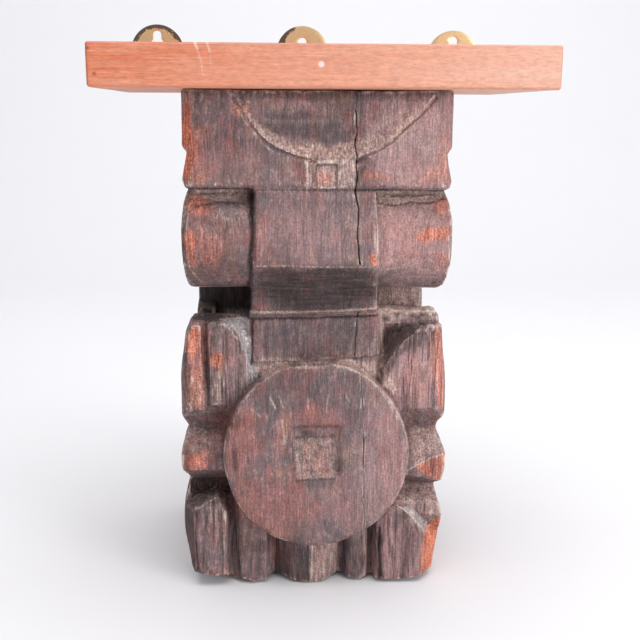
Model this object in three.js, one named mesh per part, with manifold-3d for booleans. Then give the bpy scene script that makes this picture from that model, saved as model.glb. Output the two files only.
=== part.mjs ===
// A carved wooden temple corbel that carries a plank shelf and hangs on three brass plates.
// Millimetres, +Z up, the wall behind at Y = 0 and the front towards -Y.
// The origin is the middle of the carved block's flat back.
import * as THREE from 'three';
import { mergeVertices } from 'three/addons/utils/BufferGeometryUtils.js';
import { ConvexGeometry } from 'three/addons/geometries/ConvexGeometry.js';
import Module from 'manifold-3d';

const wasm = await Module();
wasm.setup();

// Gap kept between two pieces that touch.
const GAP = 0.3;

// Plank shelf.
const SHELF_WIDTH = 305;
const SHELF_DEPTH = 200;
const SHELF_THICK = 28;
const SHELF_OFFSET = 4.5;
const SHELF_EASE = 1.2;

// Top block of the corbel, under the shelf, with a groove cut across each side.
const HEAD_WIDTH = 184.8;
const HEAD_OFFSET = 0.8;
const HEAD_HEIGHT = 66;
const HEAD_DEPTH = 173;
const HEAD_GROOVE_DROP = 41;
const HEAD_GROOVE_CUT = 3.5;
const HEAD_CHAMFER = 3;
const CORNER_CHAMFER = 5;

// Half-round panel sunk in the top block's face.
const PANEL_RADIUS = 75;
const PANEL_DROP = 46.5;
const PANEL_OFFSET = 9;
const PANEL_SINK = 4;
const PANEL_BEVEL = 9;

// Roll moulding under the top block, on the front and both sides.
const ROLL_HEIGHT = 72;
const ROLL_WIDTH = 189;
const ROLL_DEPTH = 169;
const ROLL_SWELL = 22;
const ROLL_SIDE_SWELL = 6;

// Plain tail behind the carving, which ran into the masonry. It shows as a sunk neck between the
// roll and the foot, where a hollow is cut down behind the foot's front edge.
const TAIL_WIDTH = 168.5;
const TAIL_DEPTH = 118;
const NECK_HEIGHT = 19;
const NECK_HOLLOW = 8;

// Flat tongue over the middle of the roll, the cove below it and the lip under the cove.
const TONGUE_WIDTH = 91;
const TONGUE_TAPER = 4.3;
const TONGUE_OFFSET = -1.3;
const TONGUE_HEIGHT = 53.5;
const TONGUE_DEPTH = 172;
const TONGUE_BEVEL = 3;
const TONGUE_GROOVE = 5;
const COVE_HEIGHT = 33;
const COVE_SINK = 13;
const COVE_HOLLOW = 3.5;
const LIP_HEIGHT = 5;
const LIP_OUT = 4;

// Band between the lip and the round boss.
const BAND_DEPTH = 160;
const BAND_SPLAY = 5;

// Foot: the carved lower block. Its ground is the level that the petals rise from.
const FOOT_WIDTH = 192.5;
const FOOT_OFFSET = -1;
const FOOT_HEIGHT = 205;
const FOOT_GROUND = 150;
const FOOT_NOTCH = 5;
const PETAL_RISE = 16;
const FOOT_CORNER = 5;
const STEP_RISE = 4.5;
const STEP_BACK = 5;
const STUB_RISE = 3;
const SCOOP_SINK = 4;
const POCKET_SINK = 9;
const SIDE_CUT = 6;

// Round boss in the middle of the foot, a little taller than wide, with a square cut in it.
const BOSS_WIDTH = 133.5;
const BOSS_HEIGHT = 139.5;
const BOSS_DEPTH = 175;
const BOSS_DROP = 100.4;
const BOSS_OFFSET = 0.2;
const BOSS_EDGE = 1.5;
const SOCKET_WIDTH = 34;
const SOCKET_HEIGHT = 36;
const SOCKET_SINK = 3;

// Brass hanging plates, let flush into the shelf's back edge.
const PLATE_WIDTH = 43;
const PLATE_THICK = 2;
const PLATE_RISE = 26.5;
const PLATE_FOOT = 5;
const LEFT_PLATE_INSET = 4.3;
const RIGHT_PLATE_INSET = 12.3;
const MIDDLE_PLATE_SHIFT = -7.5;
const RIGHT_PLATE_DROP = 2.5;
const MIDDLE_SLOT_DROP = 4.5;
const SLOT_WIDTH = 6.6;
const SLOT_EYE = 11;
const SLOT_LENGTH = 8;
const SLOT_MARGIN = 5;

// Two countersunk screws in each plate.
const SCREW_SPACING = 22;
const SCREW_HEAD = 7.6;
const SCREW_SHANK = 3.6;
const SCREW_LENGTH = 19;
const SCREW_SLOT = 1;
const SCREW_SLOT_DEPTH = 0.9;

// Levels, measured down from the shelf's underside.
const rollTop = -HEAD_HEIGHT;
const rollBottom = rollTop - ROLL_HEIGHT;
const footTop = rollBottom - NECK_HEIGHT;
const footBottom = footTop - FOOT_HEIGHT;
const blockHeight = -footBottom;
const shelfLift = blockHeight / 2;
const coveTop = rollTop - TONGUE_HEIGHT;
const coveBottom = coveTop - COVE_HEIGHT;
const petalDepth = FOOT_GROUND + PETAL_RISE;
// How far a cutting or clipping tool runs past the stock.
const BEYOND = 20;

// Points as [across, depth out from the wall, level].
const point = ([across, depth, level]) => new THREE.Vector3(across, -depth, level);

function toSolid(geometry) {
  geometry.deleteAttribute('normal');
  geometry.deleteAttribute('uv');
  const merged = mergeVertices(geometry, 1e-4);
  const vertProperties = Float32Array.from(merged.attributes.position.array);
  const triVerts = Uint32Array.from(merged.index.array);
  return new wasm.Manifold(new wasm.Mesh({ numProp: 3, vertProperties, triVerts }));
}

function toGeometry(solid) {
  const mesh = solid.getMesh();
  const geometry = new THREE.BufferGeometry();
  geometry.setAttribute('position', new THREE.BufferAttribute(mesh.vertProperties, 3));
  geometry.setIndex(new THREE.BufferAttribute(mesh.triVerts, 1));
  geometry.computeVertexNormals();
  return geometry;
}

const polygon = (points) => new THREE.Shape(points.map(([a, b]) => new THREE.Vector2(a, b)));

function extrude(shape, length, basis) {
  const geometry = new THREE.ExtrudeGeometry(shape, { depth: length, bevelEnabled: false, curveSegments: 12 });
  geometry.applyMatrix4(new THREE.Matrix4().makeBasis(...basis.map((axis) => new THREE.Vector3(...axis))));
  return geometry;
}

// A front outline of [across, level] points, from one depth out to another.
function fromFront(shape, nearWall, farOut) {
  const geometry = extrude(shape, farOut - nearWall, [[1, 0, 0], [0, 0, 1], [0, -1, 0]]);
  return toSolid(geometry.translate(0, -nearWall, 0));
}

// A side profile of [depth, level] points, from one place across to another.
function fromSide(shape, left, right) {
  const geometry = extrude(shape, right - left, [[0, -1, 0], [0, 0, 1], [-1, 0, 0]]);
  return toSolid(geometry.translate(right, 0, 0));
}

// A plan of [across, depth] points, from one level up to another.
function fromAbove(plan, low, high) {
  const shape = polygon(plan.map(([x, depth]) => [x, -depth]));
  return toSolid(extrude(shape, high - low, [[1, 0, 0], [0, 1, 0], [0, 0, 1]]).translate(0, 0, low));
}

const hull = (points) => toSolid(new ConvexGeometry(points.map(point)));

const steps = (count) => Array.from({ length: count + 1 }, (_, i) => i / count);

// Points of a half-round swelling between two levels: `base` at its ends, `base + swell` midway.
function swelling(high, low, base, swell, count) {
  return steps(count).map((t) => {
    const angle = Math.PI * t;
    const level = (high + low) / 2 + ((high - low) / 2) * Math.cos(angle);
    return [base + swell * Math.sin(angle), level];
  });
}

// Side edge of the top block and the roll, as [half width, level] from the top down.
function upperEdge() {
  const head = HEAD_WIDTH / 2;
  const groove = -HEAD_GROOVE_DROP;
  const roll = ROLL_WIDTH / 2 - ROLL_SIDE_SWELL;
  return [
    [head, -GAP],
    [head, groove + 0.8 * HEAD_GROOVE_CUT],
    [head - HEAD_GROOVE_CUT, groove],
    [head - HEAD_GROOVE_CUT, groove - 0.3 * HEAD_GROOVE_CUT],
    [head, rollTop + 2 * HEAD_CHAMFER],
    [head - 0.7 * HEAD_CHAMFER, rollTop],
    ...swelling(rollTop - 1, rollBottom, roll, ROLL_SIDE_SWELL, 12),
  ];
}

const neckEdge = () => [[TAIL_WIDTH / 2, rollBottom], [TAIL_WIDTH / 2, footTop]];

// Places on the foot as shares: across from -1 at its left to 1, down from 0 at its top to 1.
const across = (share) => FOOT_OFFSET + (share * FOOT_WIDTH) / 2;
const down = (share) => footTop - share * FOOT_HEIGHT;

// Side edge of the foot, as [half width, level]: lobes with a notch between each two. `crest` is
// where in its height each lobe stands out furthest, and `corner` is cut off its top.
function lobedEdge(lobes) {
  const edge = [];
  let start = 0;
  for (const { end, crest, corner = 0 } of lobes) {
    for (const t of steps(8)) {
      const along = t < crest ? (0.5 * t) / crest : 0.5 + (0.5 * (t - crest)) / (1 - crest);
      const notch = FOOT_NOTCH * Math.pow(Math.abs(Math.cos(Math.PI * along)), 4);
      const cut = t === 0 ? notch + corner : notch;
      edge.push([FOOT_WIDTH / 2 - cut, down(start + t * (end - start))]);
    }
    start = end;
  }
  return edge.filter((p, i) => i === 0 || p[1] !== edge[i - 1][1]);
}

const LEFT_LOBES = [{ end: 0.41, crest: 0.84, corner: FOOT_CORNER }, { end: 0.61, crest: 0.5 }, { end: 0.94, crest: 0.4 }];
const RIGHT_LOBES = [{ end: 0.41, crest: 0.84 }, { end: 0.65, crest: 0.5 }, { end: 0.985, crest: 0.4 }];

// Scalloped lower edge, from left to right: where each scallop ends, how far its middle is above
// the foot's lowest level, and how far the valley at its right end is.
const SCALLOPS = [
  { end: -0.67, lift: 9, valley: 2 },
  { end: -0.28, lift: 1, valley: 3.5 },
  { end: 0.21, lift: 0, valley: 3 },
  { end: 0.47, lift: 1, valley: 1.5 },
  { end: 0.88, lift: 0.5, valley: 2.5 },
];

function scallopedEdge() {
  const edge = [];
  let start = (2 * FOOT_NOTCH) / FOOT_WIDTH - 1;
  let before = (1 - LEFT_LOBES[LEFT_LOBES.length - 1].end) * FOOT_HEIGHT;
  for (const { end, lift, valley } of SCALLOPS) {
    for (const t of steps(8)) {
      const side = t < 0.5 ? before : valley;
      const level = footBottom + lift + (side - lift) * Math.pow(Math.cos(Math.PI * t), 2);
      edge.push([across(start + t * (end - start)), level]);
    }
    start = end;
    before = valley;
  }
  return edge.filter((p, i) => i > 0 && p[0] !== edge[i - 1][0]);
}

// The whole front outline of the block.
function frontOutline() {
  const place = (edge, side, offset) => edge.map(([half, level]) => [offset + side * half, level]);
  return polygon([
    ...place(upperEdge(), -1, HEAD_OFFSET),
    ...place([...neckEdge(), ...lobedEdge(LEFT_LOBES)], -1, FOOT_OFFSET),
    ...scallopedEdge(),
    ...place([...neckEdge(), ...lobedEdge(RIGHT_LOBES)], 1, FOOT_OFFSET).reverse(),
    ...place(upperEdge(), 1, HEAD_OFFSET).reverse(),
  ]);
}

// The profile of the front where nothing stands over it: top block, roll, neck and ground.
function frontProfile() {
  const roll = ROLL_DEPTH - ROLL_SWELL;
  return polygon([
    [0, -GAP],
    [HEAD_DEPTH, -GAP],
    [HEAD_DEPTH, rollTop + HEAD_CHAMFER],
    [HEAD_DEPTH - 0.7 * HEAD_CHAMFER, rollTop],
    ...swelling(rollTop - 1, rollBottom, roll, ROLL_SWELL, 14),
    [TAIL_DEPTH, rollBottom],
    [TAIL_DEPTH, footTop],
    [FOOT_GROUND, footTop],
    [FOOT_GROUND, footBottom - BEYOND],
    [0, footBottom - BEYOND],
  ]);
}

const halfStock = Math.max(HEAD_WIDTH, ROLL_WIDTH, FOOT_WIDTH) / 2 + BEYOND;
const frontStock = Math.max(HEAD_DEPTH, ROLL_DEPTH, FOOT_GROUND) + BEYOND;

// A block of stock from one depth to another, `half` wide to each side, from level to level.
function stockBlock(half, nearWall, farOut, low, high) {
  const plan = [[-half, nearWall], [half, nearWall], [half, farOut], [-half, farOut]];
  return fromAbove(plan.map(([x, depth]) => [x + FOOT_OFFSET, depth]), low, high);
}

// Stock above the foot in front of the tail, with its two front corners taken off.
function corneredStock() {
  const reach = HEAD_WIDTH / 2 + HEAD_DEPTH - CORNER_CHAMFER;
  const plan = [
    [-halfStock, TAIL_DEPTH],
    [halfStock, TAIL_DEPTH],
    [halfStock, reach - halfStock],
    [reach - frontStock, frontStock],
    [frontStock - reach, frontStock],
    [-halfStock, reach - halfStock],
  ];
  return fromAbove(plan.map(([x, depth]) => [x + HEAD_OFFSET, depth]), footTop, BEYOND);
}

// The mouldings wrap the front and both sides as far back as the tail.
function moulding() {
  const profile = fromSide(frontProfile(), -halfStock, halfStock);
  const outline = fromFront(frontOutline(), 0, frontStock);
  const stock = wasm.Manifold.union([
    corneredStock(),
    stockBlock(halfStock, TAIL_DEPTH, frontStock, footBottom - BEYOND, footTop),
    stockBlock(TAIL_WIDTH / 2, -BEYOND, TAIL_DEPTH + 1, footBottom - BEYOND, BEYOND),
  ]);
  return profile.intersect(outline).intersect(stock);
}

// Hollow cut down behind the foot's front edge, from side to side.
function neckHollow() {
  const edge = 6;
  return hull([-halfStock, halfStock].flatMap((x) => [
    [x, TAIL_DEPTH, footTop + 1],
    [x, FOOT_GROUND - edge, footTop + 1],
    [x, TAIL_DEPTH, footTop - NECK_HOLLOW],
    [x, FOOT_GROUND - 2 * edge, footTop - NECK_HOLLOW],
  ]));
}

// Shallow half-round panel with a bevelled rim, sunk in the face of the top block.
function panelCut() {
  const centre = -PANEL_DROP + PANEL_RADIUS;
  const over = 2;
  const slope = PANEL_BEVEL / PANEL_SINK;
  const rim = new THREE.LatheGeometry([
    new THREE.Vector2(0, -PANEL_SINK),
    new THREE.Vector2(PANEL_RADIUS - PANEL_BEVEL, -PANEL_SINK),
    new THREE.Vector2(PANEL_RADIUS + over * slope, over),
    new THREE.Vector2(0, over),
  ], 96);
  rim.rotateX(Math.PI);
  return toSolid(rim.translate(PANEL_OFFSET, -HEAD_DEPTH, centre));
}

// Where the tongue's left (-1) or right (1) side stands at a level. It narrows upwards.
function tongueSide(side, level) {
  const share = (level - coveBottom) / (rollTop - coveBottom);
  return TONGUE_OFFSET + side * (TONGUE_WIDTH / 2 - TONGUE_TAPER * share);
}

// Tongue, cove and lip as one profile across the middle of the roll.
function tongue() {
  const foot = TONGUE_DEPTH - COVE_SINK;
  const cove = steps(6).map((t) => [
    TONGUE_DEPTH - COVE_SINK * t - COVE_HOLLOW * Math.sin(Math.PI * t),
    coveTop - COVE_HEIGHT * t,
  ]);
  const lip = foot + LIP_OUT;
  const [high, low] = [rollTop + LIP_HEIGHT, coveBottom - 2 * LIP_HEIGHT];
  const sides = [[-1, high], [-1, low], [1, low], [1, high]].map(([side, level]) => [tongueSide(side, level), level]);
  return fromSide(polygon([
    [TAIL_DEPTH - BEYOND, rollTop],
    [TONGUE_DEPTH - TONGUE_BEVEL, rollTop],
    [TONGUE_DEPTH, rollTop - TONGUE_BEVEL],
    ...cove,
    [lip, coveBottom - 0.4 * LIP_HEIGHT],
    [lip, coveBottom - 0.6 * LIP_HEIGHT],
    [BAND_DEPTH - LIP_OUT, coveBottom - 1.6 * LIP_HEIGHT],
    [TAIL_DEPTH - BEYOND, coveBottom - 1.6 * LIP_HEIGHT],
  ]), -TONGUE_WIDTH, TONGUE_WIDTH).intersect(fromFront(polygon(sides), 0, TONGUE_DEPTH + BEYOND));
}

// Deep chisel line down the left side of the tongue.
function tongueGroove() {
  return hull([rollTop - 1, coveTop - 2].flatMap((level) => [
    [tongueSide(-1, level) - TONGUE_GROOVE, ROLL_DEPTH + BEYOND, level],
    [tongueSide(-1, level) + 0.5, ROLL_DEPTH + BEYOND, level],
    [tongueSide(-1, level) - TONGUE_GROOVE / 2, TONGUE_DEPTH - 3 * TONGUE_GROOVE, level],
  ]));
}

// Band with splayed sides that runs from under the lip to behind the boss.
function band() {
  const levels = [coveBottom - LIP_HEIGHT / 2, footTop - BOSS_DROP];
  return hull(levels.flatMap((level) => [-1, 1].flatMap((side) => [
    [tongueSide(side, coveBottom), BAND_DEPTH, level],
    [tongueSide(side, coveBottom) + side * BAND_SPLAY, FOOT_GROUND - 1, level],
  ])));
}

function bossOutline(edge) {
  const centre = [BOSS_OFFSET, footTop - BOSS_DROP];
  const sides = 72;
  return new THREE.EllipseCurve(...centre, BOSS_WIDTH / 2 - edge, BOSS_HEIGHT / 2 - edge).getPoints(sides).slice(1);
}

// The boss, with its edge taken off, and the rough square socket cut in it.
function boss() {
  const ring = (edge, depth) => bossOutline(edge).map(({ x, y }) => [x, depth, y]);
  const disc = hull([
    ...ring(0, FOOT_GROUND - BEYOND),
    ...ring(0, BOSS_DEPTH - BOSS_EDGE),
    ...ring(BOSS_EDGE, BOSS_DEPTH),
  ]);
  const middle = footTop - BOSS_DROP + 0.03 * BOSS_HEIGHT;
  const [w, h] = [SOCKET_WIDTH / 2, SOCKET_HEIGHT / 2];
  const square = [[-w, -h], [w, -h], [w, h], [-w, h]].map(([x, z]) => [x + BOSS_OFFSET, z + middle]);
  return disc.subtract(fromFront(polygon(square), BOSS_DEPTH - SOCKET_SINK, BOSS_DEPTH + BEYOND));
}

// Outline of a petal's face: a rectangle, in shares of the foot, with its upper corners cut. The
// cut is straight where `bulge` is 0 and elliptical where it is 1.
function petalFace({ left, right, top, bottom, roundLeft = [0, 0], roundRight = [0, 0], bulge = 1 }) {
  const corner = (side, [rx, rz], from, to) => steps(rx > 0 && bulge > 0 ? 5 : 1).map((t) => {
    const angle = from + t * (to - from);
    const blend = (turn) => bulge * turn(angle) + (1 - bulge) * ((1 - t) * turn(from) + t * turn(to));
    return [across(side + rx * blend(Math.cos)), down(top + rz - rz * blend(Math.sin))];
  });
  return [
    ...corner(left + roundLeft[0], roundLeft, Math.PI, Math.PI / 2),
    ...corner(right - roundRight[0], roundRight, Math.PI / 2, 0),
    [across(right), down(bottom)],
    [across(left), down(bottom)],
  ];
}

// A petal: its face at one depth and sloping sides, each as wide as its skirt, down to its root
// in the ground.
function petal({ skirt, sink = 0, root = 1, ...form }) {
  const face = petalFace(form);
  const middle = across((form.left + form.right) / 2);
  const half = (down(form.top) + down(form.bottom)) / 2;
  const spread = face.map(([x, z]) => [
    x < middle ? x - skirt.left : x + skirt.right,
    FOOT_GROUND - root,
    z > half ? z + skirt.top : z - skirt.bottom,
  ]);
  return hull([...face.map(([x, z]) => [x, petalDepth - sink, z]), ...spread]);
}

// A lobe across the foot's edge: its crest runs between two levels at each end.
function lobe({ left, right, atLeft, atRight, sink = 0 }) {
  const ends = [[left, atLeft], [right, atRight]];
  return hull(ends.flatMap(([share, [top, crestTop, crestBottom, bottom]]) => [
    [across(share), FOOT_GROUND - 1, down(top)],
    [across(share), petalDepth - sink, down(crestTop)],
    [across(share), petalDepth - sink, down(crestBottom)],
    [across(share), FOOT_GROUND - 1, down(bottom)],
  ]));
}

// A petal of the lower row, rounded about an upright ridge.
function ridged({ left, right, ridge, top, sink = 0 }) {
  const profile = [-1, -0.9, -0.55, 0, 0.55, 0.9, 1].map((s) => {
    const share = s < 0 ? ridge + s * (ridge - left) : ridge + s * (right - ridge);
    return [across(share), petalDepth - sink - (PETAL_RISE - sink + 1) * Math.pow(Math.abs(s), 4)];
  });
  return hull([down(top), footBottom].flatMap((level) => profile.map(([x, depth]) => [x, depth, level])));
}

const CORNER_PETALS = [
  // upper left, then the narrow facet outside it
  { left: -0.8, right: -0.53, top: 0.01, bottom: 0.31, roundRight: [0.2, 0.16],
    skirt: { left: 3, right: 9, top: 2, bottom: 22 } },
  { left: -0.94, right: -0.84, top: 0.02, bottom: 0.33, sink: 3,
    skirt: { left: 14, right: 2, top: 2, bottom: 18 } },
  // upper right
  { left: 0.52, right: 0.92, top: 0.02, bottom: 0.33, roundLeft: [0.32, 0.16], bulge: 0.4,
    root: SCOOP_SINK + 1, skirt: { left: 3, right: 22, top: 0, bottom: 30 } },
  // lower left
  { left: -0.92, right: -0.67, top: 0.65, bottom: 0.955, roundLeft: [0.17, 0.06], roundRight: [0.07, 0.07],
    bulge: 0.1,
    skirt: { left: 7, right: 4, top: 1, bottom: 8 } },
  // lower right
  { left: 0.48, right: 0.83, top: 0.7, bottom: 1.01, roundLeft: [0.14, 0.08], roundRight: [0.2, 0.25],
    skirt: { left: 3, right: 16, top: 4, bottom: 8 } },
];

const LOBES = [
  { left: -1.02, right: -0.62, atLeft: [0.42, 0.49, 0.55, 0.605], atRight: [0.42, 0.5, 0.545, 0.605] },
  { left: 0.62, right: 1.02, atLeft: [0.44, 0.555, 0.57, 0.62], atRight: [0.42, 0.5, 0.61, 0.65] },
  { left: 0.6, right: 1.02, atLeft: [0.65, 0.68, 0.69, 0.72], atRight: [0.65, 0.7, 0.76, 0.86], sink: 3 },
];

const RIDGED = [
  { left: -0.65, right: -0.29, ridge: -0.47, top: 0.62, sink: 3 },
  { left: -0.29, right: 0.2, ridge: -0.05, top: 0.7, sink: 2 },
  { left: 0.2, right: 0.46, ridge: 0.34, top: 0.68, sink: 4 },
];

// Rough ridge left along the foot's top, to the right of the band: the stub of a broken ledge.
function step() {
  const ends = [tongueSide(1, coveBottom) - 1, across(0.915)];
  return hull(ends.flatMap((x) => [
    [x, TAIL_DEPTH - 1, footTop - NECK_HOLLOW],
    [x, FOOT_GROUND - 2 * STEP_BACK, footTop + 0.8 * STEP_RISE],
    [x, FOOT_GROUND - STEP_BACK, footTop + STEP_RISE],
    [x, FOOT_GROUND, footTop + 0.4 * STEP_RISE],
    [x, FOOT_GROUND + 1, footTop - 1.5 * STEP_RISE],
    [x, TAIL_DEPTH - 1, footTop - 2 * NECK_HOLLOW],
  ]));
}

// Low stub at the left end of the neck, in front of the tail.
function stub() {
  return hull([-0.885, -0.74].flatMap((share) => [
    [across(share), TAIL_DEPTH - 1, footTop + STUB_RISE],
    [across(share), TAIL_DEPTH + 4 * STUB_RISE, footTop + STUB_RISE / 2],
    [across(share), TAIL_DEPTH + 5 * STUB_RISE, footTop - NECK_HOLLOW - 1],
    [across(share), TAIL_DEPTH - 1, footTop - NECK_HOLLOW - 1],
  ]));
}

// Shallow hollow under the step, beside the upper right petal.
function scoop() {
  const left = tongueSide(1, coveBottom) + BAND_SPLAY - 1;
  const floor = FOOT_GROUND - SCOOP_SINK;
  return hull([
    [left, FOOT_GROUND + 1, down(0.04)],
    [across(0.93), FOOT_GROUND + 1, down(0.04)],
    [left, FOOT_GROUND + 1, down(0.27)],
    [left + SCOOP_SINK, floor, down(0.07)],
    [across(0.85), floor, down(0.07)],
    [left + SCOOP_SINK, floor, down(0.2)],
  ]);
}

// Deep hollow between the left lobe and the lower left petal.
function pocket() {
  return hull([-0.95, -0.6].flatMap((share) => [
    [across(share), FOOT_GROUND + 1, down(0.6)],
    [across(share), FOOT_GROUND + 1, down(0.69)],
    [across(share), FOOT_GROUND - POCKET_SINK, down(0.63)],
    [across(share), FOOT_GROUND - POCKET_SINK, down(0.66)],
  ]));
}

// One plain upright V cut on each hidden side carries the lower row of petals round.
function sideCuts() {
  const depth = (TAIL_DEPTH + FOOT_GROUND) / 2;
  return wasm.Manifold.union([-1, 1].map((side) => hull([down(0.66), footBottom - 1].flatMap((level, row) => [
    [across(side) - side * SIDE_CUT * row, depth, level],
    [across(side) + side * SIDE_CUT, depth - SIDE_CUT, level],
    [across(side) + side * SIDE_CUT, depth + SIDE_CUT, level],
  ]))));
}

function corbelBlock() {
  const clip = fromFront(frontOutline(), 0, BOSS_DEPTH + BEYOND);
  const carving = wasm.Manifold.union([
    ...CORNER_PETALS.map(petal),
    ...LOBES.map(lobe),
    ...RIDGED.map(ridged),
  ]).intersect(clip);
  const block = moulding()
    .add(tongue())
    .subtract(wasm.Manifold.union([panelCut(), tongueGroove(), neckHollow(), pocket(), scoop()]));
  return block.add(carving).subtract(sideCuts()).add(wasm.Manifold.union([step(), stub(), band(), boss()]));
}

// The three hanging plates: place across, how far each sits below the first, its slot's drop.
const plateReach = (SHELF_WIDTH - PLATE_WIDTH) / 2;
const HANGERS = [
  { name: 'left', at: LEFT_PLATE_INSET - plateReach, drop: 0, slotDrop: 0 },
  { name: 'middle', at: MIDDLE_PLATE_SHIFT, drop: 0, slotDrop: MIDDLE_SLOT_DROP },
  { name: 'right', at: plateReach - RIGHT_PLATE_INSET, drop: RIGHT_PLATE_DROP, slotDrop: 0 },
];

const plateTop = SHELF_THICK + PLATE_RISE;

function plateShape(grow, { at, drop }) {
  const radius = PLATE_WIDTH / 2 + grow;
  const x = at + SHELF_OFFSET;
  const centre = plateTop - PLATE_WIDTH / 2 - drop;
  const shape = new THREE.Shape();
  shape.moveTo(x - radius, PLATE_FOOT - grow - drop);
  shape.lineTo(x + radius, PLATE_FOOT - grow - drop);
  shape.lineTo(x + radius, centre);
  shape.absarc(x, centre, radius, 0, Math.PI, false);
  shape.lineTo(x - radius, PLATE_FOOT - grow - drop);
  return shape;
}

// Keyhole: a round eye with a narrower slot above it.
function keyhole({ at, drop, slotDrop }) {
  const x = at + SHELF_OFFSET;
  const top = plateTop - drop - SLOT_MARGIN - slotDrop;
  const narrow = SLOT_WIDTH / 2;
  const eye = SLOT_EYE / 2;
  const neck = top - narrow;
  const centre = neck - SLOT_LENGTH;
  const half = Math.asin(narrow / eye);
  const shape = new THREE.Shape();
  shape.moveTo(x + narrow, neck);
  shape.absarc(x, neck, narrow, 0, Math.PI, false);
  shape.absarc(x, centre, eye, Math.PI / 2 + half, 2.5 * Math.PI - half, false);
  return fromFront(shape, -1, PLATE_THICK + 1);
}

const screwPlaces = ({ at, drop }) => [-1, 1].map((side) => ({
  x: at + SHELF_OFFSET + (side * SCREW_SPACING) / 2,
  z: SHELF_THICK / 2 - drop / 2,
}));

// Turned screw shape, head flush with the wall side, widened by `grow` for the holes it sits in.
function screwTurning(grow, headOver) {
  const head = SCREW_HEAD / 2 + grow;
  const shank = SCREW_SHANK / 2 + grow;
  const cone = SCREW_HEAD / 2 - SCREW_SHANK / 2;
  const tip = SCREW_LENGTH + grow;
  return new THREE.LatheGeometry([
    new THREE.Vector2(0, -headOver),
    new THREE.Vector2(head, -headOver),
    new THREE.Vector2(head, GAP + grow),
    new THREE.Vector2(shank, GAP + grow + cone),
    new THREE.Vector2(shank, tip - 2 * shank),
    new THREE.Vector2(0, tip),
  ], 16);
}

function screwSolid({ x, z }, grow, headOver) {
  const turning = screwTurning(grow, headOver);
  turning.rotateX(Math.PI);
  return toSolid(turning.translate(x, 0, z));
}

function screw(place) {
  const half = SCREW_SLOT / 2;
  const long = SCREW_HEAD;
  const shape = [[-long, -half], [long, -half], [long, half], [-long, half]];
  const slot = fromFront(polygon(shape.map(([x, z]) => [x + place.x, z + place.z])), -1, SCREW_SLOT_DEPTH);
  return screwSolid(place, 0, 0).subtract(slot);
}

function hanger(hook) {
  const blank = fromFront(plateShape(0, hook), 0, PLATE_THICK);
  const holes = screwPlaces(hook).map((place) => screwSolid(place, GAP, 1));
  return blank.subtract(keyhole(hook)).subtract(wasm.Manifold.union(holes));
}

function shelfBoard() {
  const half = SHELF_WIDTH / 2;
  const e = SHELF_EASE;
  const corners = [];
  for (const [ix, iy, iz] of [[e, e, 0], [e, 0, e], [0, e, e]]) {
    for (const side of [-1, 1]) {
      for (const depth of [iy, SHELF_DEPTH - iy]) {
        for (const level of [iz, SHELF_THICK - iz]) {
          corners.push([SHELF_OFFSET + side * (half - ix), depth, level]);
        }
      }
    }
  }
  const cuts = HANGERS.flatMap((hook) => [
    fromFront(plateShape(GAP, hook), -1, PLATE_THICK + GAP),
    ...screwPlaces(hook).map((place) => screwSolid(place, GAP, 1)),
  ]);
  return hull(corners).subtract(wasm.Manifold.union(cuts));
}

const carvedWood = new THREE.MeshStandardMaterial({ color: 0x5b464a, roughness: 0.78, metalness: 0 });
const plankWood = new THREE.MeshStandardMaterial({ color: 0xc07a5c, roughness: 0.55, metalness: 0 });
const brass = new THREE.MeshStandardMaterial({ color: 0xb89a5a, roughness: 0.42, metalness: 0.9 });

const corbel = new THREE.Group();
corbel.position.z = shelfLift;

function place(name, solid, material) {
  const mesh = new THREE.Mesh(toGeometry(solid), material);
  mesh.name = name;
  corbel.add(mesh);
}

place('corbel_block', corbelBlock(), carvedWood);
place('shelf_board', shelfBoard(), plankWood);
for (const hook of HANGERS) {
  place(`hanger_${hook.name}`, hanger(hook), brass);
  screwPlaces(hook).forEach((spot, i) => place(`screw_${hook.name}_${i + 1}`, screw(spot), brass));
}

const part = new THREE.Group();
part.add(corbel);

export default part;
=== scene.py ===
"""A carved wooden temple corbel that carries a plank shelf and hangs on three brass plates."""
import math
from types import SimpleNamespace

import bmesh
import bpy
import numpy as np
from bpy.props import FloatProperty, FloatVectorProperty, PointerProperty
from mathutils import Matrix, Vector


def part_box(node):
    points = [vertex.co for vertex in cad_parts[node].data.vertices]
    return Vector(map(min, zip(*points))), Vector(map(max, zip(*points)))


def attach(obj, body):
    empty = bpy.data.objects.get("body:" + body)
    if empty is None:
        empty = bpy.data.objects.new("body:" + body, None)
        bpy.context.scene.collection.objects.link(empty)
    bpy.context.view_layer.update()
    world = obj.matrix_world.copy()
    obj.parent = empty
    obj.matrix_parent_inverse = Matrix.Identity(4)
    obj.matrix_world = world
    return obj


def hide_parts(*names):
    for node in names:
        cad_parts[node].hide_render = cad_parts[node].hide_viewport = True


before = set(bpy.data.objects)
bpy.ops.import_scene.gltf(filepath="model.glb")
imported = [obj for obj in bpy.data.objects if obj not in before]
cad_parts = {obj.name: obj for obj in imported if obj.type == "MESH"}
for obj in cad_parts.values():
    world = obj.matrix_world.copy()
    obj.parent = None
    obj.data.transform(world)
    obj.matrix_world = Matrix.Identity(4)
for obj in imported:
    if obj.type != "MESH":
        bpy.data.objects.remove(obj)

bl_info = {
    "name": "Carved corbel shelf",
    "version": (1, 0, 0),
    "blender": (4, 5, 0),
    "location": "View3D > Sidebar > Corbel",
    "description": "Carved temple corbel with a plank shelf and brass hanging plates",
    "category": "Add Mesh",
}

MM = 0.001
BLOCK = "corbel_block"
PLANK = "shelf_board"
PLATES = ("hanger_left", "hanger_middle", "hanger_right")
SCREWS = tuple(f"screw_{place}_{i}" for place in ("left", "middle", "right") for i in (1, 2))

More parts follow.
